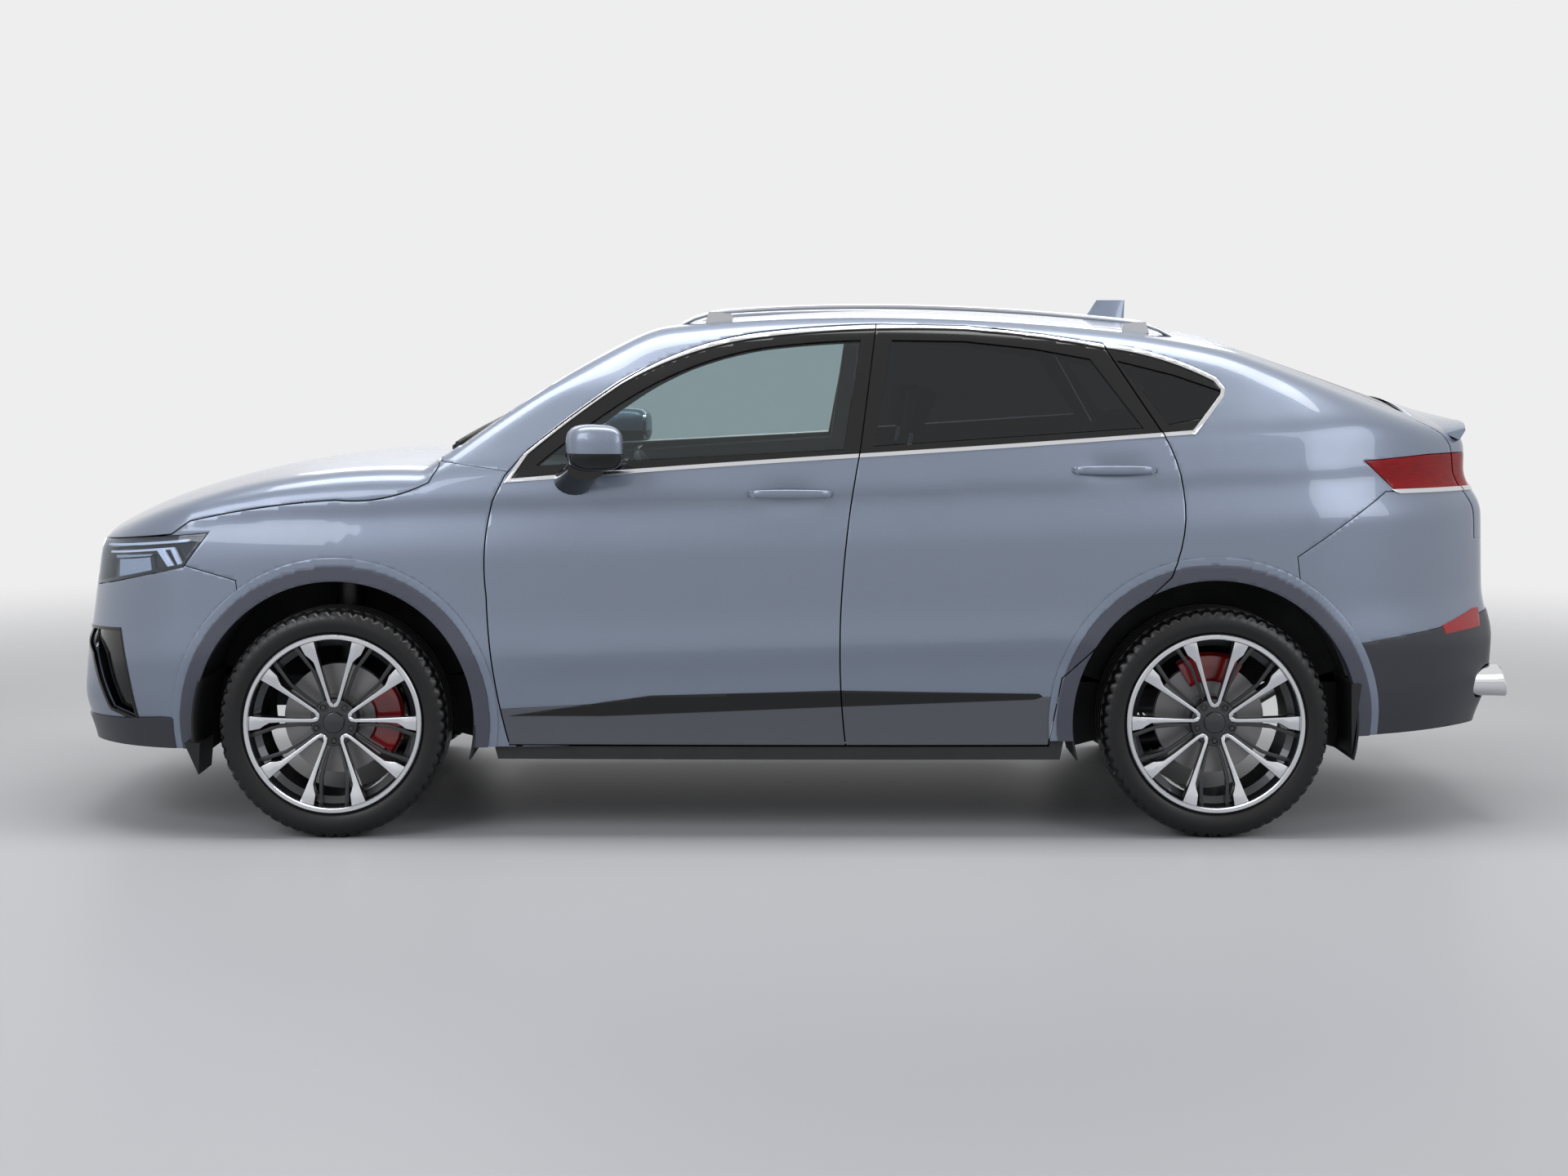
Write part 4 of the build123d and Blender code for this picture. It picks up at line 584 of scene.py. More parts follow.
@dataclass(frozen=True)
class Cut:
    """One outline that a sheet is trimmed with."""

    points: tuple
    axis: str = "Y"
    low: float = -REACH
    high: float = REACH

    @staticmethod
    def side(shares: list, grow: float = 0, low: float = -REACH, high: float = REACH) -> "Cut":
        """A cut along Y with a side outline."""
        return Cut(tuple(map(tuple, side_outline(shares, grow))), "Y", low, high)

    @staticmethod
    def end(shares: list, grow: float = 0, low: float = -REACH, high: float = REACH) -> "Cut":
        """A cut along X with an end outline."""
        return Cut(tuple(map(tuple, end_outline(shares, grow))), "X", low, high)

    @staticmethod
    def arch(axle_x: float, radius: float) -> "Cut":
        """A cut along Y with a wheel opening."""
        return Cut(tuple(map(tuple, arch_outline(axle_x, radius))), "Y")

    @staticmethod
    def block(x: tuple, y: tuple, z: tuple) -> "Cut":
        """A cut with a box between pairs of limits."""
        points = ((x[0], z[0]), (x[1], z[0]), (x[1], z[1]), (x[0], z[1]))
        return Cut(points, "Y", y[0], y[1])


def trim(obj: Piece, keep: list, drop: list) -> Piece:
    """Keep what lies inside all of the first cuts and outside all of the others."""
    own = obj.data.attributes.get("own") or obj.data.attributes.new("own", "INT", "FACE")
    own.data.foreach_set("value", np.ones(len(obj.data.polygons), np.int32))
    for cuts, operation in ((keep, "INTERSECT"), (drop, "DIFFERENCE")):
        for cut in cuts:
            cutter = prism(np.array(cut.points), cut.axis, cut.low, cut.high)
            modify(obj, "BOOLEAN", object=cutter, operation=operation, solver="FAST")
            bpy.data.objects.remove(cutter)
            without_cutter(obj)
    return obj


def without_cutter(obj: Piece) -> None:
    """Take away the faces and the loose corners that a cut leaves of its cutter."""
    mesh = bmesh.new()
    mesh.from_mesh(obj.data)
    own = mesh.faces.layers.int.get("own")
    added = [face for face in mesh.faces if not face[own]] if own else []
    bmesh.ops.delete(mesh, geom=added, context="FACES")
    loose = [vertex for vertex in mesh.verts if not vertex.link_faces]
    bmesh.ops.delete(mesh, geom=loose, context="VERTS")
    mesh.to_mesh(obj.data)
    mesh.free()


def bevelled(obj: Piece, width: float, angle: float = 40) -> None:
    """Ease the edges that are sharper than an angle."""
    modify(obj, "BEVEL", width=width, segments=2, limit_method="ANGLE",
           angle_limit=radians(angle), use_clamp_overlap=True)


def shelled(obj: Piece, depth: float, edge: float) -> Piece:
    """Give a sheet its thickness inwards and ease its rims."""
    recalculate_open(obj)
    modify(obj, "SOLIDIFY", thickness=depth, offset=-1)
    if edge > 0:
        bevelled(obj, edge, 50)
    smooth(obj, 32)
    return obj


def recalculate_open(obj: Piece) -> None:
    """Merge the doubles that a cut leaves, keeping the way the faces point."""
    mesh = bmesh.new()
    mesh.from_mesh(obj.data)
    bmesh.ops.remove_doubles(mesh, verts=mesh.verts, dist=0.0002)
    bmesh.ops.dissolve_degenerate(mesh, edges=mesh.edges, dist=0.0002)
    mesh.to_mesh(obj.data)
    mesh.free()


def copied(obj: Piece) -> Piece:
    """A copy with its own mesh, in the scene."""
    twin = obj.copy()
    twin.data = obj.data.copy()
    bpy.context.scene.collection.objects.link(twin)
    return twin


def flipped(obj: Piece) -> Piece:
    """Move an object to the other side of the car, facing outwards."""
    obj.data.transform(Matrix.Scale(-1, 4, (0, 1, 0)))
    obj.data.flip_normals()
    return obj


def mirrored(obj: Piece) -> Piece:
    """A copy on the other side of the car, facing outwards."""
    return flipped(copied(obj))


def joined(name: str, objects: list) -> Piece:
    """Several meshes as one object with a name."""
    for obj in [obj for obj in objects if not obj.data.vertices]:
        log.warning("%s: a part of it came out empty", name)
        objects.remove(obj)
        bpy.data.objects.remove(obj)
    activate(*objects)
    if len(objects) > 1:
        bpy.ops.object.join()
    obj = bpy.context.view_layer.objects.active
    obj.name = obj.data.name = name
    return obj


def placed(obj: Piece) -> Piece:
    """Move an object's place, turn and scale into its mesh."""
    bpy.context.view_layer.update()
    obj.data.transform(obj.matrix_world)
    obj.matrix_world = Matrix.Identity(4)
    return obj


def dressed(obj: Piece, finish: "Finish | Glazing") -> Piece:
    """Give an object its one finish."""
    obj.data.materials.clear()
    obj.data.materials.append(finish.material())
    return obj


def linear(hex_value: str) -> tuple:
    """An sRGB hex value as linear red, green, blue and alpha."""
    parts = [int(hex_value[i:i + 2], 16) / 255 for i in (1, 3, 5)]
    return tuple(p / 12.92 if p <= 0.04045 else ((p + 0.055) / 1.055) ** 2.4 for p in parts) + (1,)


def add_node(tree: bpy.types.NodeTree, kind: str, inputs: dict | None = None,
             **settings: object) -> bpy.types.Node:
    """Add a node with its settings, socket values and links.

    Args:
        tree: the material's node tree.
        kind: the node's type.
        inputs: a value, or an output socket to link, for each named input.
        settings: the node's own settings.

    Returns:
        The new node.
    """
    node = tree.nodes.new(kind)
    for key, value in settings.items():
        setattr(node, key, value)
    for key, value in (inputs or {}).items():
        if isinstance(value, bpy.types.NodeSocket):
            tree.links.new(value, node.inputs[key])
        else:
            node.inputs[key].default_value = value
    return node


def fresh_tree(block: bpy.types.Material | bpy.types.World) -> bpy.types.NodeTree:
    """The emptied node tree of a new material or world."""
    block.use_nodes = True
    block.node_tree.nodes.clear()
    return block.node_tree


def mixed(tree: bpy.types.NodeTree, share: bpy.types.NodeSocket, first: bpy.types.Node,
          second: bpy.types.Node, output: str = "ShaderNodeOutputMaterial") -> None:
    """Mix two shaders by a share and lead them to the output."""
    mix = add_node(tree, "ShaderNodeMixShader", {0: share, 1: first.outputs[0],
                                                 2: second.outputs[0]})
    add_node(tree, output, {"Surface": mix.outputs[0]})


MM = 0.001


@dataclass(frozen=True)
class Finish:
    """A real finish: its colour, its gloss and the small pattern that it shows."""

    name: str
    colour: str
    other: str = ""  # second colour of its mottle
    metallic: float = 0.0
    roughness: float = 0.5
    coat: float = 0.0
    sheen: float = 0.0
    specular: float = 0.5
    pattern: float = 0.002  # size of the pattern in metres
    mottle: float = 0.0  # how far the second colour shows
    bump: float = 0.0  # depth of the relief in metres
    wear: float = 0.0  # how far roughness varies
    emission: float = 0.0
    brushed: tuple = (1.0, 1.0, 1.0)  # how the pattern stretches

    def material(self) -> bpy.types.Material:
        """The material, made once for the scene."""
        found = bpy.data.materials.get(self.name)
        if found:
            return found
        material = bpy.data.materials.new(self.name)
        tree = fresh_tree(material)
        place = add_node(tree, "ShaderNodeTexCoord").outputs["Object"]
        place = add_node(tree, "ShaderNodeMapping", {"Vector": place, "Scale": self.brushed})
        fine = add_node(tree, "ShaderNodeTexNoise", {
            "Vector": place.outputs[0], "Scale": 1 / self.pattern, "Detail": 3.0})
        broad = add_node(tree, "ShaderNodeTexNoise", {
            "Vector": place.outputs[0], "Scale": 7.0, "Detail": 4.0})
        shader = add_node(tree, "ShaderNodeBsdfPrincipled", {
            "Base Color": linear(self.colour), "Metallic": self.metallic,
            "Roughness": self.roughness, "Coat Weight": self.coat, "Coat Roughness": 0.03,
            "Sheen Weight": self.sheen, "Sheen Roughness": 0.4,
            "Specular IOR Level": self.specular})
        if self.mottle:
            mix = add_node(tree, "ShaderNodeMix", data_type="RGBA")
            share = add_node(tree, "ShaderNodeMapRange", {
                "Value": fine.outputs["Fac"], "From Min": 0.35, "From Max": 0.65,
                "To Min": 0.0, "To Max": self.mottle})
            tree.links.new(share.outputs[0], mix.inputs["Factor"])
            colour = next(s for s in mix.outputs if s.type == "RGBA")
            for name, value in (("A", self.colour), ("B", self.other or self.colour)):
                socket = next(s for s in mix.inputs if s.name == name and s.type == "RGBA")
                socket.default_value = linear(value)
            tree.links.new(colour, shader.inputs["Base Color"])
        if self.wear:
            rough = add_node(tree, "ShaderNodeMapRange", {
                "Value": broad.outputs["Fac"], "From Min": 0.3, "From Max": 0.7,
                "To Min": self.roughness * (1 - self.wear),
                "To Max": self.roughness * (1 + self.wear)})
            tree.links.new(rough.outputs[0], shader.inputs["Roughness"])
        if self.bump:
            relief = add_node(tree, "ShaderNodeBump", {
                "Height": fine.outputs["Fac"], "Strength": 0.6, "Distance": self.bump})
            tree.links.new(relief.outputs[0], shader.inputs["Normal"])
        if self.emission:
            shader.inputs["Emission Color"].default_value = linear(self.colour)
            shader.inputs["Emission Strength"].default_value = self.emission
        add_node(tree, "ShaderNodeOutputMaterial", {"Surface": shader.outputs[0]})
        return material


@dataclass(frozen=True)
class Glazing:
    """A pane of toughened or laminated glass with its tint."""

    name: str
    tint: str
    gloss: float = 0.02

    def material(self) -> bpy.types.Material:
        """The material: a tinted clear pane under a sharp reflection."""
        found = bpy.data.materials.get(self.name)
        if found:
            return found
        material = bpy.data.materials.new(self.name)
        tree = fresh_tree(material)
        clear = add_node(tree, "ShaderNodeBsdfTransparent", {"Color": linear(self.tint)})
        shine = add_node(tree, "ShaderNodeBsdfGlossy", {
            "Color": linear("#e6e8ea"), "Roughness": self.gloss})
        facing = add_node(tree, "ShaderNodeLayerWeight", {"Blend": 0.5})
        steep = add_node(tree, "ShaderNodeMath", {0: facing.outputs["Facing"], 1: 5.0},
                         operation="POWER")
        share = add_node(tree, "ShaderNodeMapRange", {"Value": steep.outputs[0],
                                                      "To Min": 0.04, "To Max": 0.9})
        mixed(tree, share.outputs[0], clear, shine)
        return material


# Metallic base coat under clear lacquer: fine flakes give it a soft grain and a sharp shine
PAINT = Finish("blue_grey_metallic_lacquer", "#7d8798", "#6f7989", metallic=0.5, roughness=0.36,
               coat=0.8, pattern=1.2 * MM, mottle=0.7, wear=0.08)
# Painted satin polypropylene of the arches, darker than the doors
CLADDING = Finish("slate_satin_polypropylene", "#4a4d59", "#42454f", metallic=0.35, roughness=0.38,
                  coat=0.35, pattern=0.9 * MM, mottle=0.8, bump=0.03 * MM, wear=0.1)
LOWER = Finish("graphite_satin_lacquer", "#53565d", "#4b4e55", metallic=0.4, roughness=0.34,
               coat=0.6, pattern=1.0 * MM, mottle=0.7, wear=0.1)
# Moulded plastic of the bumpers' lower edges, darker than the arches
VALANCE = Finish("anthracite_satin_polypropylene", "#33353c", "#2d2f35", metallic=0.3,
                 roughness=0.4, coat=0.2, pattern=0.9 * MM, mottle=0.8, wear=0.1)
# Piano black moulding: deep and mirror smooth
GLOSS_BLACK = Finish("piano_black_abs", "#040405", roughness=0.12, coat=0.15, pattern=4 * MM,
                     wear=0.2, specular=0.35)
# Moulded unpainted plastic with a leather-like grain
GRAINED = Finish("grained_black_polypropylene", "#17181a", "#1f2022", roughness=0.62,
                 pattern=1.1 * MM, mottle=0.8, bump=0.25 * MM, wear=0.15)
CHROME = Finish("bright_anodised_aluminium", "#d5d6d8", metallic=1.0, roughness=0.16,
                pattern=0.5 * MM, bump=0.004 * MM, wear=0.2, brushed=(0.05, 1.0, 1.0))
MIRROR_CHROME = Finish("polished_chromium_plate", "#e4e5e7", metallic=1.0, roughness=0.04,
                       pattern=3 * MM, wear=0.4)
RAIL = Finish("satin_anodised_rail", "#b9bbbe", metallic=1.0, roughness=0.3, pattern=0.6 * MM,
              bump=0.006 * MM, wear=0.15, brushed=(0.04, 1.0, 1.0))
RUBBER = Finish("vulcanised_tyre_rubber", "#060607", "#0b0b0c", roughness=0.34, pattern=1.6 * MM,
                mottle=0.6, bump=0.03 * MM, wear=0.2, specular=0.4)
SEAL = Finish("extruded_epdm_seal", "#0c0c0d", roughness=0.55, pattern=1.0 * MM, bump=0.05 * MM)
MACHINED = Finish("diamond_turned_aluminium", "#d3d5d8", "#c3c5c9", metallic=1.0, roughness=0.22,
                  pattern=0.8 * MM, mottle=0.5, bump=0.01 * MM, wear=0.15, coat=0.6)
RIM_DARK = Finish("graphite_wheel_lacquer", "#26282c", "#1e2023", metallic=0.45, roughness=0.3,
                  coat=0.7, pattern=1.0 * MM, mottle=0.6, wear=0.12)
DISC_IRON = Finish("turned_cast_iron", "#8d8d8f", "#6f6c6a", metallic=0.95, roughness=0.36,
                   pattern=1.4 * MM, mottle=0.7, bump=0.03 * MM, wear=0.2)
HUB_STEEL = Finish("oxidised_steel", "#4a4a4b", "#38332f", metallic=0.8, roughness=0.5,
                   pattern=5 * MM, mottle=0.6, bump=0.1 * MM, wear=0.25)
CALIPER_RED = Finish("red_caliper_enamel", "#a10d16", "#8c0b13", roughness=0.25, coat=0.8,
                     pattern=2 * MM, mottle=0.6, bump=0.05 * MM, wear=0.1)
UNDERSEAL = Finish("stone_chip_underseal", "#111214", "#18191b", roughness=0.8, pattern=3 * MM,
                   mottle=0.6, bump=0.5 * MM, wear=0.1)
DASH = Finish("soft_touch_dash_skin", "#1a1b1d", "#222326", roughness=0.6, pattern=1.3 * MM,
              mottle=0.7, bump=0.2 * MM, wear=0.1)
CARPET = Finish("needle_felt_carpet", "#141415", "#202022", roughness=0.95, pattern=2.2 * MM,
                mottle=0.8, bump=1.0 * MM, sheen=0.3)
LEATHER = Finish("black_grained_leather", "#1b1a1a", "#262423", roughness=0.48, pattern=1.8 * MM,
                 mottle=0.7, bump=0.3 * MM, wear=0.2, sheen=0.1)
RED_LENS = Finish("red_acrylic_lens", "#960009", "#6e0006", roughness=0.15, specular=0.25,
                  pattern=9 * MM, mottle=0.6, bump=0.5 * MM, brushed=(0.2, 0.2, 1.6))
RED_GLOW = Finish("red_reflector_prisms", "#b80c17", "#8d0a12", roughness=0.15, coat=0.2,
                  pattern=3 * MM, mottle=0.8, bump=0.5 * MM)
LAMP_BODY = Finish("smoked_lamp_bezel", "#2a2c30", "#1c1d20", metallic=0.3, roughness=0.25,
                   coat=0.5, pattern=3 * MM, mottle=0.5)
LAMP_BRIGHT = Finish("lamp_reflector_metal", "#dfe4ec", "#b9c0cc", metallic=0.9, roughness=0.12,
                     pattern=5 * MM, mottle=0.6, bump=0.3 * MM)
LAMP_LIGHT = Finish("light_guide_acrylic", "#eef3ff", roughness=0.15, coat=1.0, pattern=3 * MM,
                    bump=0.2 * MM, emission=0.35)
EXHAUST = Finish("brushed_stainless_steel", "#9b9c9e", "#84807a", metallic=1.0, roughness=0.32,
                 pattern=1.5 * MM, mottle=0.5, bump=0.02 * MM, wear=0.3)
ENGINE = Finish("cast_engine_alloy", "#54565a", "#3a3c40", metallic=0.6, roughness=0.55,
                pattern=4 * MM, mottle=0.6, bump=0.4 * MM, wear=0.2)
HEADLINER = Finish("knitted_headliner", "#3a3b3e", "#333437", roughness=0.95, pattern=1.6 * MM,
                   mottle=0.7, bump=0.3 * MM, sheen=0.3)
CLEAR_GLASS = Glazing("clear_green_tempered_glass", "#dbe3e4")
TINTED_GLASS = Glazing("privacy_tempered_glass", "#85888e")
SCREEN_GLASS = Glazing("laminated_windscreen", "#d8e0e2")
LENS = Glazing("clear_polycarbonate_lens", "#e9eef4")


def ridden(obj: Piece, body: str, *nodes: str) -> Piece:
    """Let a finished piece ride on a body and stand for CAD nodes."""
    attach(obj, body)
    if nodes:
        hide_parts(*nodes)
    log.info("%s rides on %s, %d faces", obj.name, body, len(obj.data.polygons))
    return obj


def walled(obj: Piece, keep: list, drop: list, finish: Finish | Glazing = PAINT,
           depth: float = SKIN_DEPTH, shift: float = 0, edge: float = EASED_EDGE) -> Piece:
    """Trim a sheet and make a finished panel of it.

    Args:
        obj: the sheet.
        keep: cuts whose inside is kept.
        drop: cuts whose inside is taken away.
        finish: what it is made of.
        depth: its thickness inwards.
        shift: how far it is moved inwards first.
        edge: width of its eased rims, 0 for sharp ones.

    Returns:
        The panel.
    """
    obj = trim(obj, keep, drop)
    if shift:
        moved_in(obj, shift)
    return dressed(shelled(obj, depth, edge), finish)


ARCH_CUTS = [Cut.arch(FRONT_AXLE_X, FRONT_ARCH + ARCH_TRIM - 0.004),
             Cut.arch(REAR_AXLE_X, REAR_ARCH + ARCH_TRIM - 0.004)]


@dataclass
class Doors:
    """The four doors: outer skin, dark window frame, bright mouldings, glass and linings."""

    skin_depth: float = 0.020
    lining_inset: float = 0.030
    lining_depth: float = 0.028
    moulding_width: float = 0.012
    moulding_stand: float = 0.0025
    moulding_depth: float = 0.012
    frame_set: float = 0.003  # by which the dark frame lies inside the skin
    glass_inset: float = 0.009
    glass_depth: float = 0.004
    strip_stand: float = 0.003
    strip_depth: float = 0.010
    step: float = 0.013
    handle_length: float = 0.262

    def base(self, place: str, inset: float = 0) -> Piece:
        """An uncut sheet that covers a door."""
        span = (0.02, 0.86) if place == "front" else (-0.02, 0.49)
        start, end = along(span[0] if place != "front" else 0.36), along(span[1])
        count = int((end - start) / self.step)
        return sheet(Sheet.ACROSS, (start, end, count), (-42, 62, 112), inset)

    def cuts(self, place: str) -> tuple:
        """What a door's outline keeps and drops."""
        if place == "front":
            return [Cut.side(FRONT_DOOR_SHARES, 0, 0)], ARCH_CUTS[:1]
        keep = [Cut.side(REAR_DOOR_SHARES, 0, 0)]
        return keep, [Cut.side(FRONT_DOOR_SHARES, SEAM, 0), ARCH_CUTS[1]]

    def handle(self, place: str) -> list:
        """A pull handle and the dished cup behind it."""
        x, z = along(HANDLE_SHARES[place][0]), up(HANDLE_SHARES[place][1])
        half = self.handle_length / 2
        stations = np.linspace(-1, 1, 25)
        xs = x + stations * half
        start = np.column_stack([xs, 0 * xs, 0 * xs + z])
        skin = FORM.solve(start, np.tile([0.0, 1.0, 0.0], (len(xs), 1)))
        rise = 0.030 * (1 - np.abs(stations) ** 4) + 0.003
        deep = 0.011 * (1 - 0.25 * np.abs(stations) ** 3)
        tall = 0.0135 * (1 - 0.35 * np.abs(stations) ** 3)
        rings = []
        for i, point in enumerate(skin):
            around = round_turns(16)
            rings.append([(point[0], point[1] + rise[i] - deep[i] / 2
                           + deep[i] / 2 * np.sign(cos(a)) * abs(cos(a)) ** 0.7,
                           z + tall[i] * np.sign(sin(a)) * abs(sin(a)) ** 0.7) for a in around])
        grip = lofted("grip", rings)
        feet = []
        for side in (-1, 1):
            bpy.ops.mesh.primitive_cylinder_add(
                vertices=24, radius=0.011, depth=0.036,
                location=(x + side * half * 0.86, float(skin[12][1]) + 0.010, z),
                rotation=(pi / 2, 0, 0))
            feet.append(placed(bpy.context.object))
        parts = [grip, *feet]
        for part in parts:
            dressed(part, PAINT)
            smooth(part, 60)
        return parts

    def build(self) -> None:
        """Make the four doors with their glass."""
        for place in ("front", "rear"):
            keep, drop = self.cuts(place)
            window = FRONT_WINDOW_SHARES if place == "front" else REAR_WINDOW_SHARES
            glazed_edge = Cut.side(GLAZING_SHARES, self.moulding_width, 0)
            outline = FRONT_DOOR_SHARES if place == "front" else REAR_DOOR_SHARES
            whole = trim(self.base(place), keep, drop)
            paint = walled(copied(whole), [], [glazed_edge, Cut.side(BAND_SHARES, 0, 0)],
                           depth=self.skin_depth)
            band = walled(copied(whole), [Cut.side(BAND_SHARES, -0.001, 0)], [], LOWER,
                          self.skin_depth)
            frame_part, moulding = layered(whole, window, self, 0)
            strip = walled(copied(whole), [Cut.side(STRIP_SHARES, 0, 0)], [], GLOSS_BLACK,
                           self.strip_depth, -self.strip_stand, 0.002)
            lining = walled(self.base(place, self.lining_inset), [Cut.side(outline, -0.020, 0)],
                [Cut.side(GLAZING_SHARES, 0.002, 0),
                 *([] if place == "front" else [Cut.side(FRONT_DOOR_SHARES, 0.028, 0)]),
                 *ARCH_CUTS], DASH, self.lining_depth, 0, 0.004)
            bpy.data.objects.remove(whole)
            door = joined(f"door_panel_{place}_left", [
                paint, band, frame_part, moulding, strip, lining, *self.handle(place)])
            glass = walled(self.base(place, self.glass_inset), [Cut.side(window, -0.0005, 0)], [],
                           CLEAR_GLASS if place == "front" else TINTED_GLASS, self.glass_depth, 0, 0)
            for side in ("left", "right"):
                body = f"door_{place}_{side}"
                piece = door if side == "left" else mirrored(door)
                pane = glass if side == "left" else mirrored(glass)
                piece.name, pane.name = f"door_panel_{place}_{side}", f"door_pane_{place}_{side}"
                ridden(piece, body, body)
                ridden(pane, body, f"door_glass_{place}_{side}")


def moved_in(obj: Piece, distance: float) -> Piece:
    """Move a sheet in along its own normals, or out where the distance is negative."""
    obj.data.update()
    count = len(obj.data.vertices)
    co, normal = np.empty(count * 3, np.float32), np.empty(count * 3, np.float32)
    obj.data.vertices.foreach_get("co", co)
    obj.data.vertices.foreach_get("normal", normal)
    obj.data.vertices.foreach_set("co", co - normal * distance)
    obj.data.update()
    return obj


def ringed(name: str, rings: list) -> Piece:
    """A skin over rings of as many points each, the last joined to the first."""
    steps, count = len(rings), len(rings[0])
    faces = [(i * count + j, i * count + (j + 1) % count,
              (i + 1) % steps * count + (j + 1) % count, (i + 1) % steps * count + j)
             for i in range(steps) for j in range(count)]
    obj = add_mesh(name, [point for ring in rings for point in ring], faces)
    recalculate(obj)
    return obj


def lofted(name: str, rings: list) -> Piece:
    """A skin over closed rings of as many points each, its ends closed."""
    count = len(rings[0])
    vertices = [point for ring in rings for point in ring]
    faces = [(r * count + i, r * count + (i + 1) % count, (r + 1) * count + (i + 1) % count,
              (r + 1) * count + i) for r in range(len(rings) - 1) for i in range(count)]
    last = (len(rings) - 1) * count
    faces += [tuple(range(count))[::-1], tuple(range(last, last + count))]
    obj = add_mesh(name, vertices, faces)
    recalculate(obj)
    return obj


FLOOR_CUT_SHARES = [(2.3, 0.1560), (-1.3, 0.1920), (-1.3, 1.3), (2.3, 1.3)]
ON_GROUND = Cut.side(FLOOR_CUT_SHARES)


def layered(whole: Piece, window: list, doors: "Doors", low: float = -REACH) -> list:
    """The dark frame and the bright moulding round a side window.

    Args:
        whole: the trimmed sheet of the panel, left as it is.
        window: the window's outline.
        doors: sizes of the mouldings.
        low: where the cuts start across the car.

    Returns:
        The frame and the moulding.
    """
    glazed = Cut.side(GLAZING_SHARES, 0, low)
    glazed_edge = Cut.side(GLAZING_SHARES, doors.moulding_width, low)
    frame_part = walled(copied(whole), [glazed], [Cut.side(window, 0, low)], GLOSS_BLACK,
                        doors.skin_depth, doors.frame_set, 0.001)
    moulding = walled(copied(whole), [glazed_edge], [glazed], CHROME, doors.moulding_depth,
                      -doors.moulding_stand, 0.002)
    return [frame_part, moulding]


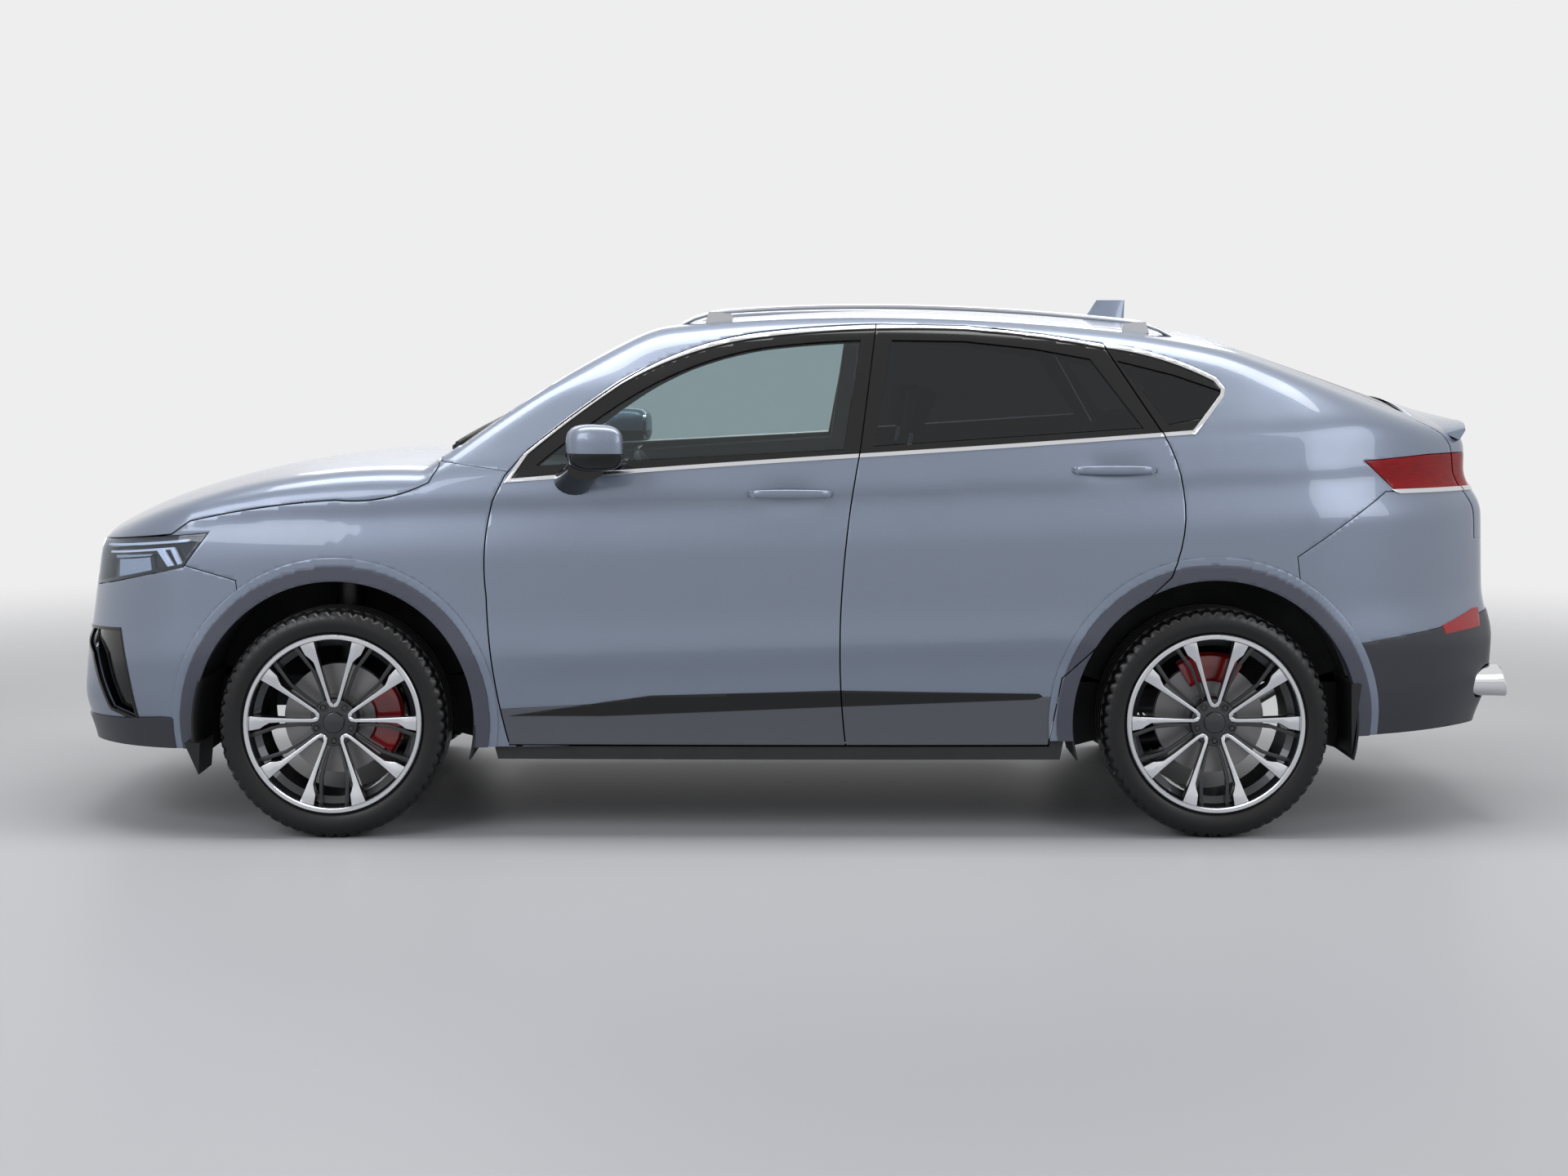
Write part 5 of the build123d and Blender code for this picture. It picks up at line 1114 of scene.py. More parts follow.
@dataclass
class Shell:
    """Painted panels of the body, its lamps, fixed glass and mouldings."""

    trim_stand: float = 0.009
    flare: float = 0.026  # painted edge round a wheel opening's moulding
    lens_depth: float = 0.003
    pane_depth: float = 0.005

    def nose(self, inset: float = 0, step: float = 0.0125) -> Piece:
        """A sheet round the nose."""
        return sheet(Sheet.ROUND, (-0.170, 0.170, int(2.5 / step)), (0.14, 1.02, int(0.9 / step)),
                     inset)

    def tail(self, inset: float = 0, step: float = 0.0125) -> Piece:
        """A sheet round the tail."""
        return sheet(Sheet.ROUND, (0.825, 1.175, int(2.5 / step)), (0.14, 1.22, int(1.1 / step)),
                     inset)

    def bonnet(self) -> None:
        """The lid over the engine bay with its under-frame."""
        top = sheet(Sheet.ACROSS, (1.07, 2.262, 110), (14, 166, 130), 0, 0.45)
        outer = walled(top, [Cut.side(BONNET_SHARES)], [], depth=0.012)
        under = sheet(Sheet.ACROSS, (1.07, 2.24, 60), (16, 164, 70), 0.014, 0.45)
        under = walled(under, [Cut.side(BONNET_SHARES, -0.016)], [
            Cut.block((1.25 + 0.29 * i, 1.45 + 0.29 * i), (0.10 * j + 0.05, 0.10 * j + 0.38), (0, 2))
            for i, j in ((0, 0), (1, 0), (2, 0), (0, -4.8), (1, -4.8), (2, -4.8))],
            UNDERSEAL, 0.008)
        ridden(joined("bonnet_panel", [outer, under]), "bonnet", "bonnet")

    def fenders(self) -> None:
        """The front fenders."""
        side = sheet(Sheet.ACROSS, (0.84, 2.0, 96), (-42, 46, 90))
        inner = Cut.side(FENDER_SHARES, 0, across(0.80) + 0.003)
        piece = walled(side, [inner, ON_GROUND], [
            Cut.side(FRONT_DOOR_SHARES, SEAM), Cut.side(BONNET_SHARES, SEAM),
            Cut.side(HEADLAMP_SHARES, 0.003), Cut.side(FRONT_BUMPER_SHARES, 0.003), ARCH_CUTS[0]])
        piece.name = "fender_panels"
        ridden(joined("fender_panels", [piece, mirrored(piece)]), "root", "front_fenders")

    def front(self) -> None:
        """Bumper, valance, air intakes and headlamps of the nose."""
        nose = along(1.6)
        grille = Cut.end(GRILLE_SHARES, 0, nose, REACH)
        intake = Cut.end(INTAKE_SHARES, 0, nose, REACH)
        lamp_inner = across(LAMP_INNER_SHARE)
        lamps = [Cut.side(HEADLAMP_SHARES, 0.003, *span) for span in (
            (lamp_inner - 0.003, REACH), (-REACH, 0.003 - lamp_inner))]
        valance = Cut.side(FRONT_VALANCE_SHARES)
        bumper = Cut.side(FRONT_BUMPER_SHARES)
        fog = Cut.side(FOG_SHARES)
        whole = trim(self.nose(), [bumper, ON_GROUND], [
            Cut.side(BONNET_SHARES, SEAM), *lamps, grille, intake, ARCH_CUTS[0]])
        skin = walled(copied(whole), [], [Cut.side(FRONT_VALANCE_SHARES, 0.001), fog])
        low = walled(copied(whole), [valance], [], VALANCE, 0.020, -0.006)
        bpy.data.objects.remove(whole)
        wall_part = walled(self.nose(-0.002), [Cut.side(FOG_SHARES, 0.010)], [fog],
                           GLOSS_BLACK, 0.012)
        pocket = walled(self.nose(0.030), [Cut.side(FOG_SHARES, 0.012)], [], GLOSS_BLACK, 0.004)
        surround = [walled(self.nose(-0.003), [Cut.end(shares, 0.014, nose, REACH)],
                           [Cut.end(shares, -0.002, nose, REACH)], CHROME, 0.014)
                    for shares in (GRILLE_SHARES, INTAKE_SHARES)]
        backs = [walled(self.nose(0.055), [Cut.end(shares, 0.02, nose - 0.1, REACH)], [],
                        GRAINED, 0.004) for shares in (GRILLE_SHARES, INTAKE_SHARES)]
        ridden(joined("front_bumper_skin", [skin, wall_part, pocket, *surround, *backs]),
               "root", "front_bumper")
        ridden(joined("front_valance_lip", [low]), "root", "front_valance")
        self.headlamps(lamp_inner)

    def headlamps(self, lamp_inner: float) -> None:
        """Clear lenses over dark bezels with bright light guides and reflectors."""
        left = (lamp_inner, REACH)
        seam = Cut.side(BONNET_SHARES, SEAM)
        shape = Cut.side(HEADLAMP_SHARES, 0, *left)
        lens = walled(self.nose(0.001), [shape], [seam], LENS, self.lens_depth, edge=0)
        rim = walled(self.nose(0.0035), [shape],
                     [seam, Cut.side(HEADLAMP_SHARES, -0.010, lamp_inner + 0.08, REACH)],
                     LAMP_BODY, 0.040)
        bowl = walled(self.nose(0.042), [shape], [seam],
                      LAMP_BODY, 0.020)
        upper = [(1.500, 0.5530), (1.870, 0.5330), (1.870, 0.5290), (1.510, 0.5480)]
        lower = [(1.560, 0.5370), (1.830, 0.5210), (1.830, 0.5170), (1.566, 0.5330)]
        leg = [(1.600, 0.5335), (1.625, 0.5320), (1.575, 0.4980), (1.555, 0.5005)]
        second = [(1.560, 0.5370), (1.575, 0.5360), (1.540, 0.5020), (1.525, 0.5045)]
        guides = [walled(self.nose(inset), [Cut.side(table, 0, *left)], [seam], LAMP_LIGHT,
                         0.012, edge=0.001)
                  for table, inset in ((upper, 0.012), (lower, 0.018), (leg, 0.012),
                                  (second, 0.016))]
        boxes = [(1.635, 0.470), (1.780, 0.465), (1.780, 0.507), (1.650, 0.516)]
        module = walled(self.nose(0.020), [Cut.side(boxes, 0, *left)], [], LAMP_BRIGHT, 0.018)
        upper_box = [(1.640, 0.5225), (1.800, 0.5145), (1.800, 0.5085), (1.648, 0.5185)]
        shelf = walled(self.nose(0.022), [Cut.side(upper_box, 0, *left)], [], LAMP_BRIGHT, 0.014)
        inner = [rim, bowl, *guides, module, shelf]
        bodies = joined("headlamp_bodies", inner)
        lens.name = "headlamp_lenses"
        ridden(joined("headlamp_inner", [bodies, mirrored(bodies)]), "root")
        ridden(joined("headlamp_lenses", [lens, mirrored(lens)]), "root", "headlamps")

    def sides(self) -> None:
        """Quarter panels, pillars' outsides and roof edges, with the quarter glass."""
        flank = sheet(Sheet.ACROSS, (-2.235, 1.08, 240), (-42, 66, 130))
        roof_block = Cut.block((along(TAILGATE_HINGE_SHARE) + SEAM, along(ROOF_FRONT_SHARE)),
                               (-across(ROOF_WIDE_SHARE), across(ROOF_WIDE_SHARE)), ABOVE_ROOF)
        whole = trim(flank, [ON_GROUND, Cut.side([(-1.2, 0.1), (0.88, 0.1), (0.88, 1.2),
                                                  (-1.2, 1.2)], 0, across(0.40), REACH)], [
            Cut.side(FRONT_DOOR_SHARES, SEAM), Cut.side(REAR_DOOR_SHARES, SEAM),
            Cut.side(FENDER_SHARES, 0.002), Cut.side(REAR_BUMPER_SHARES, 0.003),
            Cut.side(TAIL_LAMP_SHARES, 0.003), ARCH_CUTS[0], ARCH_CUTS[1],
            Cut.end([(y + 0.004, z) for y, z in TAILGATE_SHARES], 0, -REACH,
                    along(TAILGATE_HINGE_SHARE) + 0.003),
            Cut.end(WINDSCREEN_SHARES, 0.001, along(WINDSCREEN_HEAD_SHARE),
                    along(WINDSCREEN_FOOT_SHARE)), roof_block,
            Cut.block((along(WINDSCREEN_FOOT_SHARE), 1.3), (-across(0.80), across(0.80)),
                      ABOVE_COWL)])
        paint = walled(copied(whole), [], [Cut.side(GLAZING_SHARES, Doors.moulding_width)])
        layers = layered(whole, QUARTER_WINDOW_SHARES, Doors())
        glass = sheet(Sheet.ACROSS, (-1.50, -1.0, 40), (8, 50, 50), 0.009)
        glass = walled(glass, [Cut.side(QUARTER_WINDOW_SHARES, -0.0005)], [], TINTED_GLASS, 0.004,
                       edge=0)
        bpy.data.objects.remove(whole)
        piece = joined("side_left", [paint, *layers])
        ridden(joined("body_side_panels", [piece, mirrored(piece)]), "root", "body_sides")
        ridden(joined("quarter_panes", [glass, mirrored(glass)]), "root", "quarter_glass")

    def arches(self) -> None:
        """Satin mouldings round the wheel openings."""
        body_parts = []
        for place, axle_x, radius, door in (("front", FRONT_AXLE_X, FRONT_ARCH, FRONT_DOOR_SHARES),
                                            ("rear", REAR_AXLE_X, REAR_ARCH, REAR_DOOR_SHARES)):
            reach = radius + ARCH_TRIM
            base = sheet(Sheet.ACROSS, (axle_x - reach - 0.02, axle_x + reach + 0.02, 90),
                         (-48, 6, 70))
            rings = []
            for outer, inner, finish, stand in (
                    (reach, reach - self.flare, PAINT, 0.004),
                    (reach - self.flare, radius, CLADDING, self.trim_stand)):
                ring = trim(copied(base), [Cut.arch(axle_x, outer), ON_GROUND],
                            [Cut.arch(axle_x, inner)])
                if place == "rear":
                    rings.append(walled(copied(ring), [Cut.side(door)], [], finish, 0.022,
                                        -stand, 0.003))
                whole = walled(ring, [], [Cut.side(door, SEAM)], finish, 0.030, -stand, 0.003)
                body_parts += [whole, mirrored(whole)]
            bpy.data.objects.remove(base)
            if rings:
                part = joined("arch_part_rear_door_left", rings)
                other = mirrored(part)
                other.name = "arch_part_rear_door_right"
                ridden(part, "door_rear_left")
                ridden(other, "door_rear_right")
        ridden(joined("arch_mouldings", body_parts), "root", "arch_trim")

    def roof(self) -> None:
        """Roof skin with its fin, the windscreen and the cowl."""
        top = sheet(Sheet.ACROSS, (-1.378, 0.56, 130), (40, 140, 80), 0, 0.9)
        wide = across(ROOF_WIDE_SHARE) - 0.001
        screen = Cut.end(WINDSCREEN_SHARES, 0.001, along(WINDSCREEN_HEAD_SHARE),
                         along(WINDSCREEN_FOOT_SHARE))
        skin = walled(top, [Cut.block((along(TAILGATE_HINGE_SHARE) + SEAM, 0.5335),
                                      (-wide, wide), ABOVE_ROOF)], [screen])
        ridden(joined("roof_skin", [skin, self.fin()]), "root", "roof")
        glass = sheet(Sheet.ACROSS, (0.17, 1.04, 70), (6, 174, 110), 0.006, 0.9)
        glass = walled(glass, [Cut.end(WINDSCREEN_SHARES, -0.001,
                                       along(WINDSCREEN_HEAD_SHARE) + 0.001,
                                       along(WINDSCREEN_FOOT_SHARE) - 0.001)], [],
                       SCREEN_GLASS, self.pane_depth, edge=0)
        glass.name = "windscreen_pane"
        ridden(glass, "root", "windscreen")
        cowl = sheet(Sheet.ACROSS, (*COWL, 12), (14, 166, 100), 0.004, 0.9)
        cowl = walled(cowl, [Cut.block(COWL, (-across(0.80), across(0.80)), ABOVE_COWL)], [], GRAINED, 0.012)
        ridden(joined("cowl_cover", [cowl, *self.wipers()]), "root", "cowl")

    def fin(self) -> Piece:
        """An aerial housing swept back like a fin."""
        rings = []
        for share in np.linspace(0, 1, 12):
            z = up(0.952) + (up(1.0105) - up(0.952)) * share
            front = along(0.118) + (along(0.090) - along(0.118)) * share ** 0.8
            rear = along(0.056) - 0.004 * share
            half = 0.027 * (1 - share) + 0.0035
            turns = round_turns(24)
            middle, reach = (front + rear) / 2, (front - rear) / 2
            rings.append([(middle + reach * cos(t), half * sin(t) * (0.6 - 0.4 * cos(t)), z)
                          for t in turns])
        return finished(lofted("fin", rings), PAINT)

    def wipers(self) -> list:
        """Two wiper arms that rest along the foot of the windscreen."""
        parts = []
        for foot, end in ((0.52, -0.12), (-0.10, -0.66)):
            ys = np.linspace(foot, end, 12)
            points = skin_above(1.062 - 0.090 * np.linspace(0, 1, 12) ** 0.7, ys, 0.6)
            points[:, 2] += 0.012
            parts.append(dressed(bar("wiper", points, 0.007, 0.009), GRAINED))
            blade = points + np.array([0.012, 0, -0.010])
            parts.append(dressed(bar("blade", blade, 0.004, 0.008), SEAL))
        return parts

    def rear(self) -> None:
        """Rear bumper, valance, lamps and the tailgate with its window."""
        tail_inner = across(TAIL_LAMP_INNER_SHARE)
        lamp_spans = ((tail_inner - 0.003, REACH), (-REACH, 0.003 - tail_inner))
        lamps = [Cut.side(TAIL_LAMP_SHARES, 0.003, *span) for span in lamp_spans]
        hinge = along(TAILGATE_HINGE_SHARE)
        tailgate_hole = Cut.end([(y + 0.0055, z) for y, z in TAILGATE_SHARES], 0, -REACH, hinge)
        foot_hole = Cut.block((-REACH, hinge), (-across(0.6), across(0.6)),
                              (up(0.545) - SEAM, up(0.6)))
        pipes = [Cut(tuple((side * across(share) + PIPE_HOLE * cos(t),
                            up(PIPE_HEIGHT_SHARE) + PIPE_HOLE * sin(t))
                           for t in round_turns(40)), "X",
                     -REACH, along(-0.5)) for share in PIPE_SHARES for side in (-1, 1)]
        valance = Cut.side(REAR_VALANCE_SHARES)
        whole = trim(self.tail(), [Cut.side(REAR_BUMPER_SHARES), ON_GROUND], [
            tailgate_hole, foot_hole, *lamps, ARCH_CUTS[1], *pipes])
        skin = walled(copied(whole), [], [Cut.side(REAR_VALANCE_SHARES, 0.001)])
        low = walled(copied(whole), [valance], [], VALANCE, 0.018, -0.003)
        bpy.data.objects.remove(whole)
        reflector = [(-0.730, 0.386), (-0.860, 0.413), (-0.880, 0.413), (-0.880, 0.378),
                     (-0.740, 0.370)]
        lights = [walled(self.tail(-0.004), [Cut.side(reflector, 0, *span)], [], RED_GLOW,
                         0.010) for span in ((0.55, REACH), (-REACH, -0.55))]
        flaps = self.mud_flaps()
        ridden(self.aprons(), "root")
        ridden(joined("rear_bumper_skin", [skin, *lights]), "root", "rear_bumper")
        ridden(joined("rear_valance_skirt", [low, *flaps]), "root", "rear_valance")
        self.pipe_sleeves()
        self.lamps(lamp_spans, tailgate_hole)
        self.tailgate(lamps, hinge)

    def aprons(self) -> Piece:
        """Lower ends of the wheel arch liners, ahead of each wheel and behind it."""
        parts = []
        for axle_x, radius, inner in ((FRONT_AXLE_X, FRONT_ARCH, 0.482),
                                      (REAR_AXLE_X, REAR_ARCH, 0.645)):
            outer = ((radius - 0.003, inner), (radius - 0.003, 0.893),
                     (radius + 0.003, 0.893), (radius + 0.003, inner))
            wall = ((0.250, inner), (0.250, inner + 0.004), (radius, inner + 0.004),
                    (radius, inner))
            for side, ahead, section in product((-1, 1), (-1, 1), (outer, wall)):
                rings = [[(axle_x + ahead * r * cos(turn), side * y, TYRE_RADIUS + r * sin(turn))
                          for r, y in section] for turn in np.radians(np.linspace(-15, 17, 12))]
                parts.append(finished(lofted("apron", rings), UNDERSEAL))
        return joined("liner_aprons", parts)

    def mud_flaps(self) -> list:
        """Flexible flaps behind the rear wheels and small ones ahead of the front wheels."""
        parts = []
        for x, top, foot, lean, thick in (
                (REAR_AXLE_X - 0.432, 0.470, 0.250, 0.012, 0.026),
                (FRONT_AXLE_X + 0.424, 0.290, 0.190, -0.010, 0.040)):
            for side in (-1, 1):
                rings = [[(x + (lean - np.sign(lean) * d * thick * (1 - s)), side * y,
                           top + (foot - top) * s)
                          for d, y in ((1, 0.70), (1, 0.905 - 0.02 * s), (-0.2, 0.905 - 0.02 * s),
                                       (-0.2, 0.70))] for s in np.linspace(0, 1, 6)]
                parts.append(dressed(lofted("flap", rings), SEAL))
        return parts

    def pipe_sleeves(self) -> None:
        """Bright slant-cut sleeves over the ends of the exhaust."""
        parts = []
        for share, side in product(PIPE_SHARES, (-1, 1)):
            rings = []
            for turn in round_turns(PIPE_TURNS):
                a, b = cos(turn), sin(turn)
                end = along(-0.955) - 0.004 + 0.012 * b
                rings.append([(x, side * across(share) + r * a, up(PIPE_HEIGHT_SHARE) + r * b)
                              for x, r in ((end, 0.050), (end - 0.003, 0.0475), (end, 0.045),
                                           (end + 0.11, 0.0435), (end + 0.11, 0.0475),
                                           (end + 0.03, 0.0485))])
            parts.append(finished(ringed("sleeve", rings), MIRROR_CHROME))
        ridden(joined("exhaust_sleeves", parts), "root")

    def lamps(self, spans: tuple, tailgate_hole: Cut) -> None:
        """Red tail lamps on the body and on the tailgate, above a bright strip."""
        gate = Cut.end(TAILGATE_SHARES, 0, -REACH, along(TAILGATE_HINGE_SHARE))
        strip = [(-0.560, 0.6460), (-0.590, 0.6380), (-1.200, 0.6380), (-1.200, 0.6460)]
        for name, node, body, keep, drop in (
                ("tail_lamp_units", "tail_lamps", "root", [], [tailgate_hole]),
                ("tailgate_lamp_units", "tailgate_lamps", "tailgate", [gate], [])):
            parts = []
            for y_from, y_to in spans:
                inner = (y_from + 0.003, y_to) if y_to > 0 else (y_from, y_to - 0.003)
                shape = Cut.side(TAIL_LAMP_SHARES, 0, *inner)
                parts.append(walled(self.tail(0.0), [shape, *keep], drop, RED_LENS, 0.006))
                parts.append(walled(self.tail(0.010), [shape, *keep], drop, RED_GLOW, 0.012))
                parts.append(walled(self.tail(-0.005), [Cut.side(strip, 0, *inner), *keep],
                                    drop, CHROME, 0.010))
            ridden(joined(name, parts), body, node)

    def tailgate(self, lamps: list, hinge: float) -> None:
        """The tailgate's skin, its window and its spoiler lip."""
        rear = sheet(Sheet.LENGTHWISE, (-0.632, 0.632, 100), (-2, 99, 150))
        window = Cut(tuple((along(x), side * across(y)) for side, x, y in (
            (1, *REAR_WINDOW_SHARES_PLAN[0]), (1, *REAR_WINDOW_SHARES_PLAN[1]),
            (-1, *REAR_WINDOW_SHARES_PLAN[1]), (-1, *REAR_WINDOW_SHARES_PLAN[0]))), "Z",
            up(0.757) + 0.008, REACH)
        gate = Cut.end(TAILGATE_SHARES, 0, -REACH, hinge)
        skin = walled(copied(rear), [gate], [window, *lamps])
        rim = Cut(tuple(grown(np.array(window.points), -0.035).tolist()), "Z", window.low, REACH)
        frit = walled(copied(rear), [gate, window], [rim], GLOSS_BLACK, 0.003, 0.0075)
        bpy.data.objects.remove(rear)
        glass = sheet(Sheet.LENGTHWISE, (-0.60, 0.60, 60), (15, 99, 80), 0.006)
        glass = walled(glass, [Cut(tuple(grown(np.array(window.points), -0.001).tolist()), "Z",
                              window.low, REACH)], [], TINTED_GLASS, self.pane_depth,
                       edge=0)
        glass.name = "tailgate_pane"
        ridden(glass, "tailgate", "tailgate_glass")
        ridden(joined("tailgate_skin", [skin, frit, self.spoiler()]), "tailgate", "tailgate")

    def spoiler(self) -> Piece:
        """A ducktail lip on the tailgate's edge."""
        rings = []
        for share in np.linspace(-1, 1, 61):
            y = 0.598 * share
            skin = skin_above(np.array([-1.98, -2.10, -2.17]), np.full(3, y))
            back = 0.075 * share ** 2
            tip_x = -2.226 + back
            rise = 0.017 * (1 - share ** 8)
            rings.append([(skin[0][0], y, skin[0][2] - 0.001), (skin[1][0] + back / 2, y,
                                                                skin[1][2] + rise * 0.35),
                          (tip_x, y, 1.243 + rise), (tip_x - 0.001, y, 1.236 + rise),
                          (tip_x + 0.018, y, 1.205), (-2.10, y, 1.215)])
        return finished(lofted("spoiler", rings), PAINT, 40)

    def rails(self) -> None:
        """Roof rails on their feet."""
        ends = along(0.607), along(0.030)
        xs = np.linspace(*ends, 41)
        middle = (ends[0] + ends[1]) / 2
        plan = np.polyfit((ends[0], middle, ends[1]), [across(s) for s in (0.565, 0.640, 0.580)], 2)
        ys = np.polyval(plan, xs)
        skin = skin_above(xs, ys)
        share = np.abs(np.linspace(-1, 1, 41))
        rise = 0.030 * np.clip((1 - share) / 0.14, 0, 1) ** 0.6
        line = skin + np.column_stack([0 * xs, 0 * xs, rise])
        rail = bar("rail", line, 0.013, 0.008)
        feet = [smoothed(lofted("foot", [[
            (xs[i] + a * (0.045 - 0.010 * s), ys[i] + b * 0.014, skin[i][2] - 0.006
             + (rise[i] + 0.006) * s) for a, b in ((-1, -1), (1, -1), (1, 1), (-1, 1))]
            for s in (0, 1)])) for i in (3, 37)]
        parts = [dressed(part, RAIL) for part in (rail, *feet)]
        piece = joined("rail_left", parts)
        ridden(joined("roof_rail_bars", [piece, mirrored(piece)]), "root", "roof_rails")


def smoothed(obj: Piece, angle: float = 35) -> Piece:
    """Shade an object smooth and hand it back."""
    smooth(obj, angle)
    return obj


def finished(obj: Piece, finish: Finish, angle: float = 35) -> Piece:
    """Give an object its finish and shade it smooth."""
    return smoothed(dressed(obj, finish), angle)


def bar(name: str, line: Array, wide: float, tall: float, count: int = 16
        ) -> Piece:
    """A bar of rounded section along a line of points.

    Args:
        name: the object's name.
        line: points along it, one a row.
        wide: half its width, sideways to the line in plan.
        tall: half its height.
        count: points round the section.

    Returns:
        The bar.
    """
    ahead = np.gradient(line, axis=0)
    side = np.column_stack([-ahead[:, 1], ahead[:, 0], 0 * ahead[:, 0]])
    side /= np.linalg.norm(side, axis=1)[:, None] + 1e-9
    rings = []
    for point, beside in zip(line, side):
        rings.append([])
        for turn in round_turns(count):
            a, b = squared(turn, 0.6)
            rings[-1].append(tuple(point + beside * a * wide + np.array([0, 0, b * tall])))
    return smoothed(lofted(name, rings), 50)


@dataclass
class Mirrors:
    """Door mirrors with their arms and glass."""

    length: float = 0.215
    height: float = 0.150
    inner: float = 0.946
    outer: float = 1.074
    split: float = 0.016  # from its middle down to the black lower part
    overlay: float = 0.0012  # by which that part stands off the housing

    def build(self) -> None:
        """Make both mirrors."""
        x, z = along(0.706), up(0.729)
        rings = []
        for share in np.linspace(-1, 1, 25):
            y = (self.inner + self.outer) / 2 + share * (self.outer - self.inner) / 2
            part = (1 - abs(share) ** 3.2) ** (1 / 2.4) * 0.70 + 0.30
            sweep = -0.016 * (share + 1)
            ring = []
            for turn in round_turns(48):
                a, b = squared(turn, 0.62)
                nose = 1.0 if a > 0 else 0.55
                ring.append((x + sweep + a * self.length / 2 * part * nose - 0.02,
                             y, z + b * self.height / 2 * part * (0.93 + 0.07 * a)))
            rings.append(ring)
        housing = finished(lofted("housing", rings), PAINT)
        lower = trim(copied(housing), [Cut.block((-3, 3), (0, 3), (0, z - self.split))], [])
        moved_in(lower, -self.overlay)
        dressed(lower, GLOSS_BLACK)
        pane_x = x - 0.02 - self.length / 2 * 0.55
        rim = [[(pane_x + d, (self.inner + self.outer) / 2 - 0.006 + a * 0.047 * s,
                 z + b * 0.050 * s) for a, b in (squared(t, 0.5) for t in round_turns(32))]
            for d, s in ((0.012, 1), (-0.003, 1), (-0.003, 0.97))]
        pane = dressed(lofted("mirror_face", rim), MIRROR_CHROME)
        foot = (along(0.732), across(0.880), up(0.655))
        head = (x + 0.012, (self.inner + self.outer) / 2 - 0.01, z - self.height * 0.42)
        arm_rings = [[tuple(np.array(foot) * (1 - s) + np.array(head) * s
                            + np.array([a * (0.064 - 0.006 * s), 0, b * (0.050 - 0.014 * s)]))
                      for a, b in ((cos(t), sin(t)) for t in round_turns(20))]
                     for s in np.linspace(0, 1, 6)]
        arm = finished(lofted("arm", arm_rings), GLOSS_BLACK)
        parts = [housing, lower, pane, arm]
        for side, twin in (("left", copied), ("right", mirrored)):
            ridden(joined(f"mirror_unit_{side}", [twin(part) for part in parts]),
                   f"door_front_{side}", f"mirror_{side}")
        for part in parts:
            bpy.data.objects.remove(part)


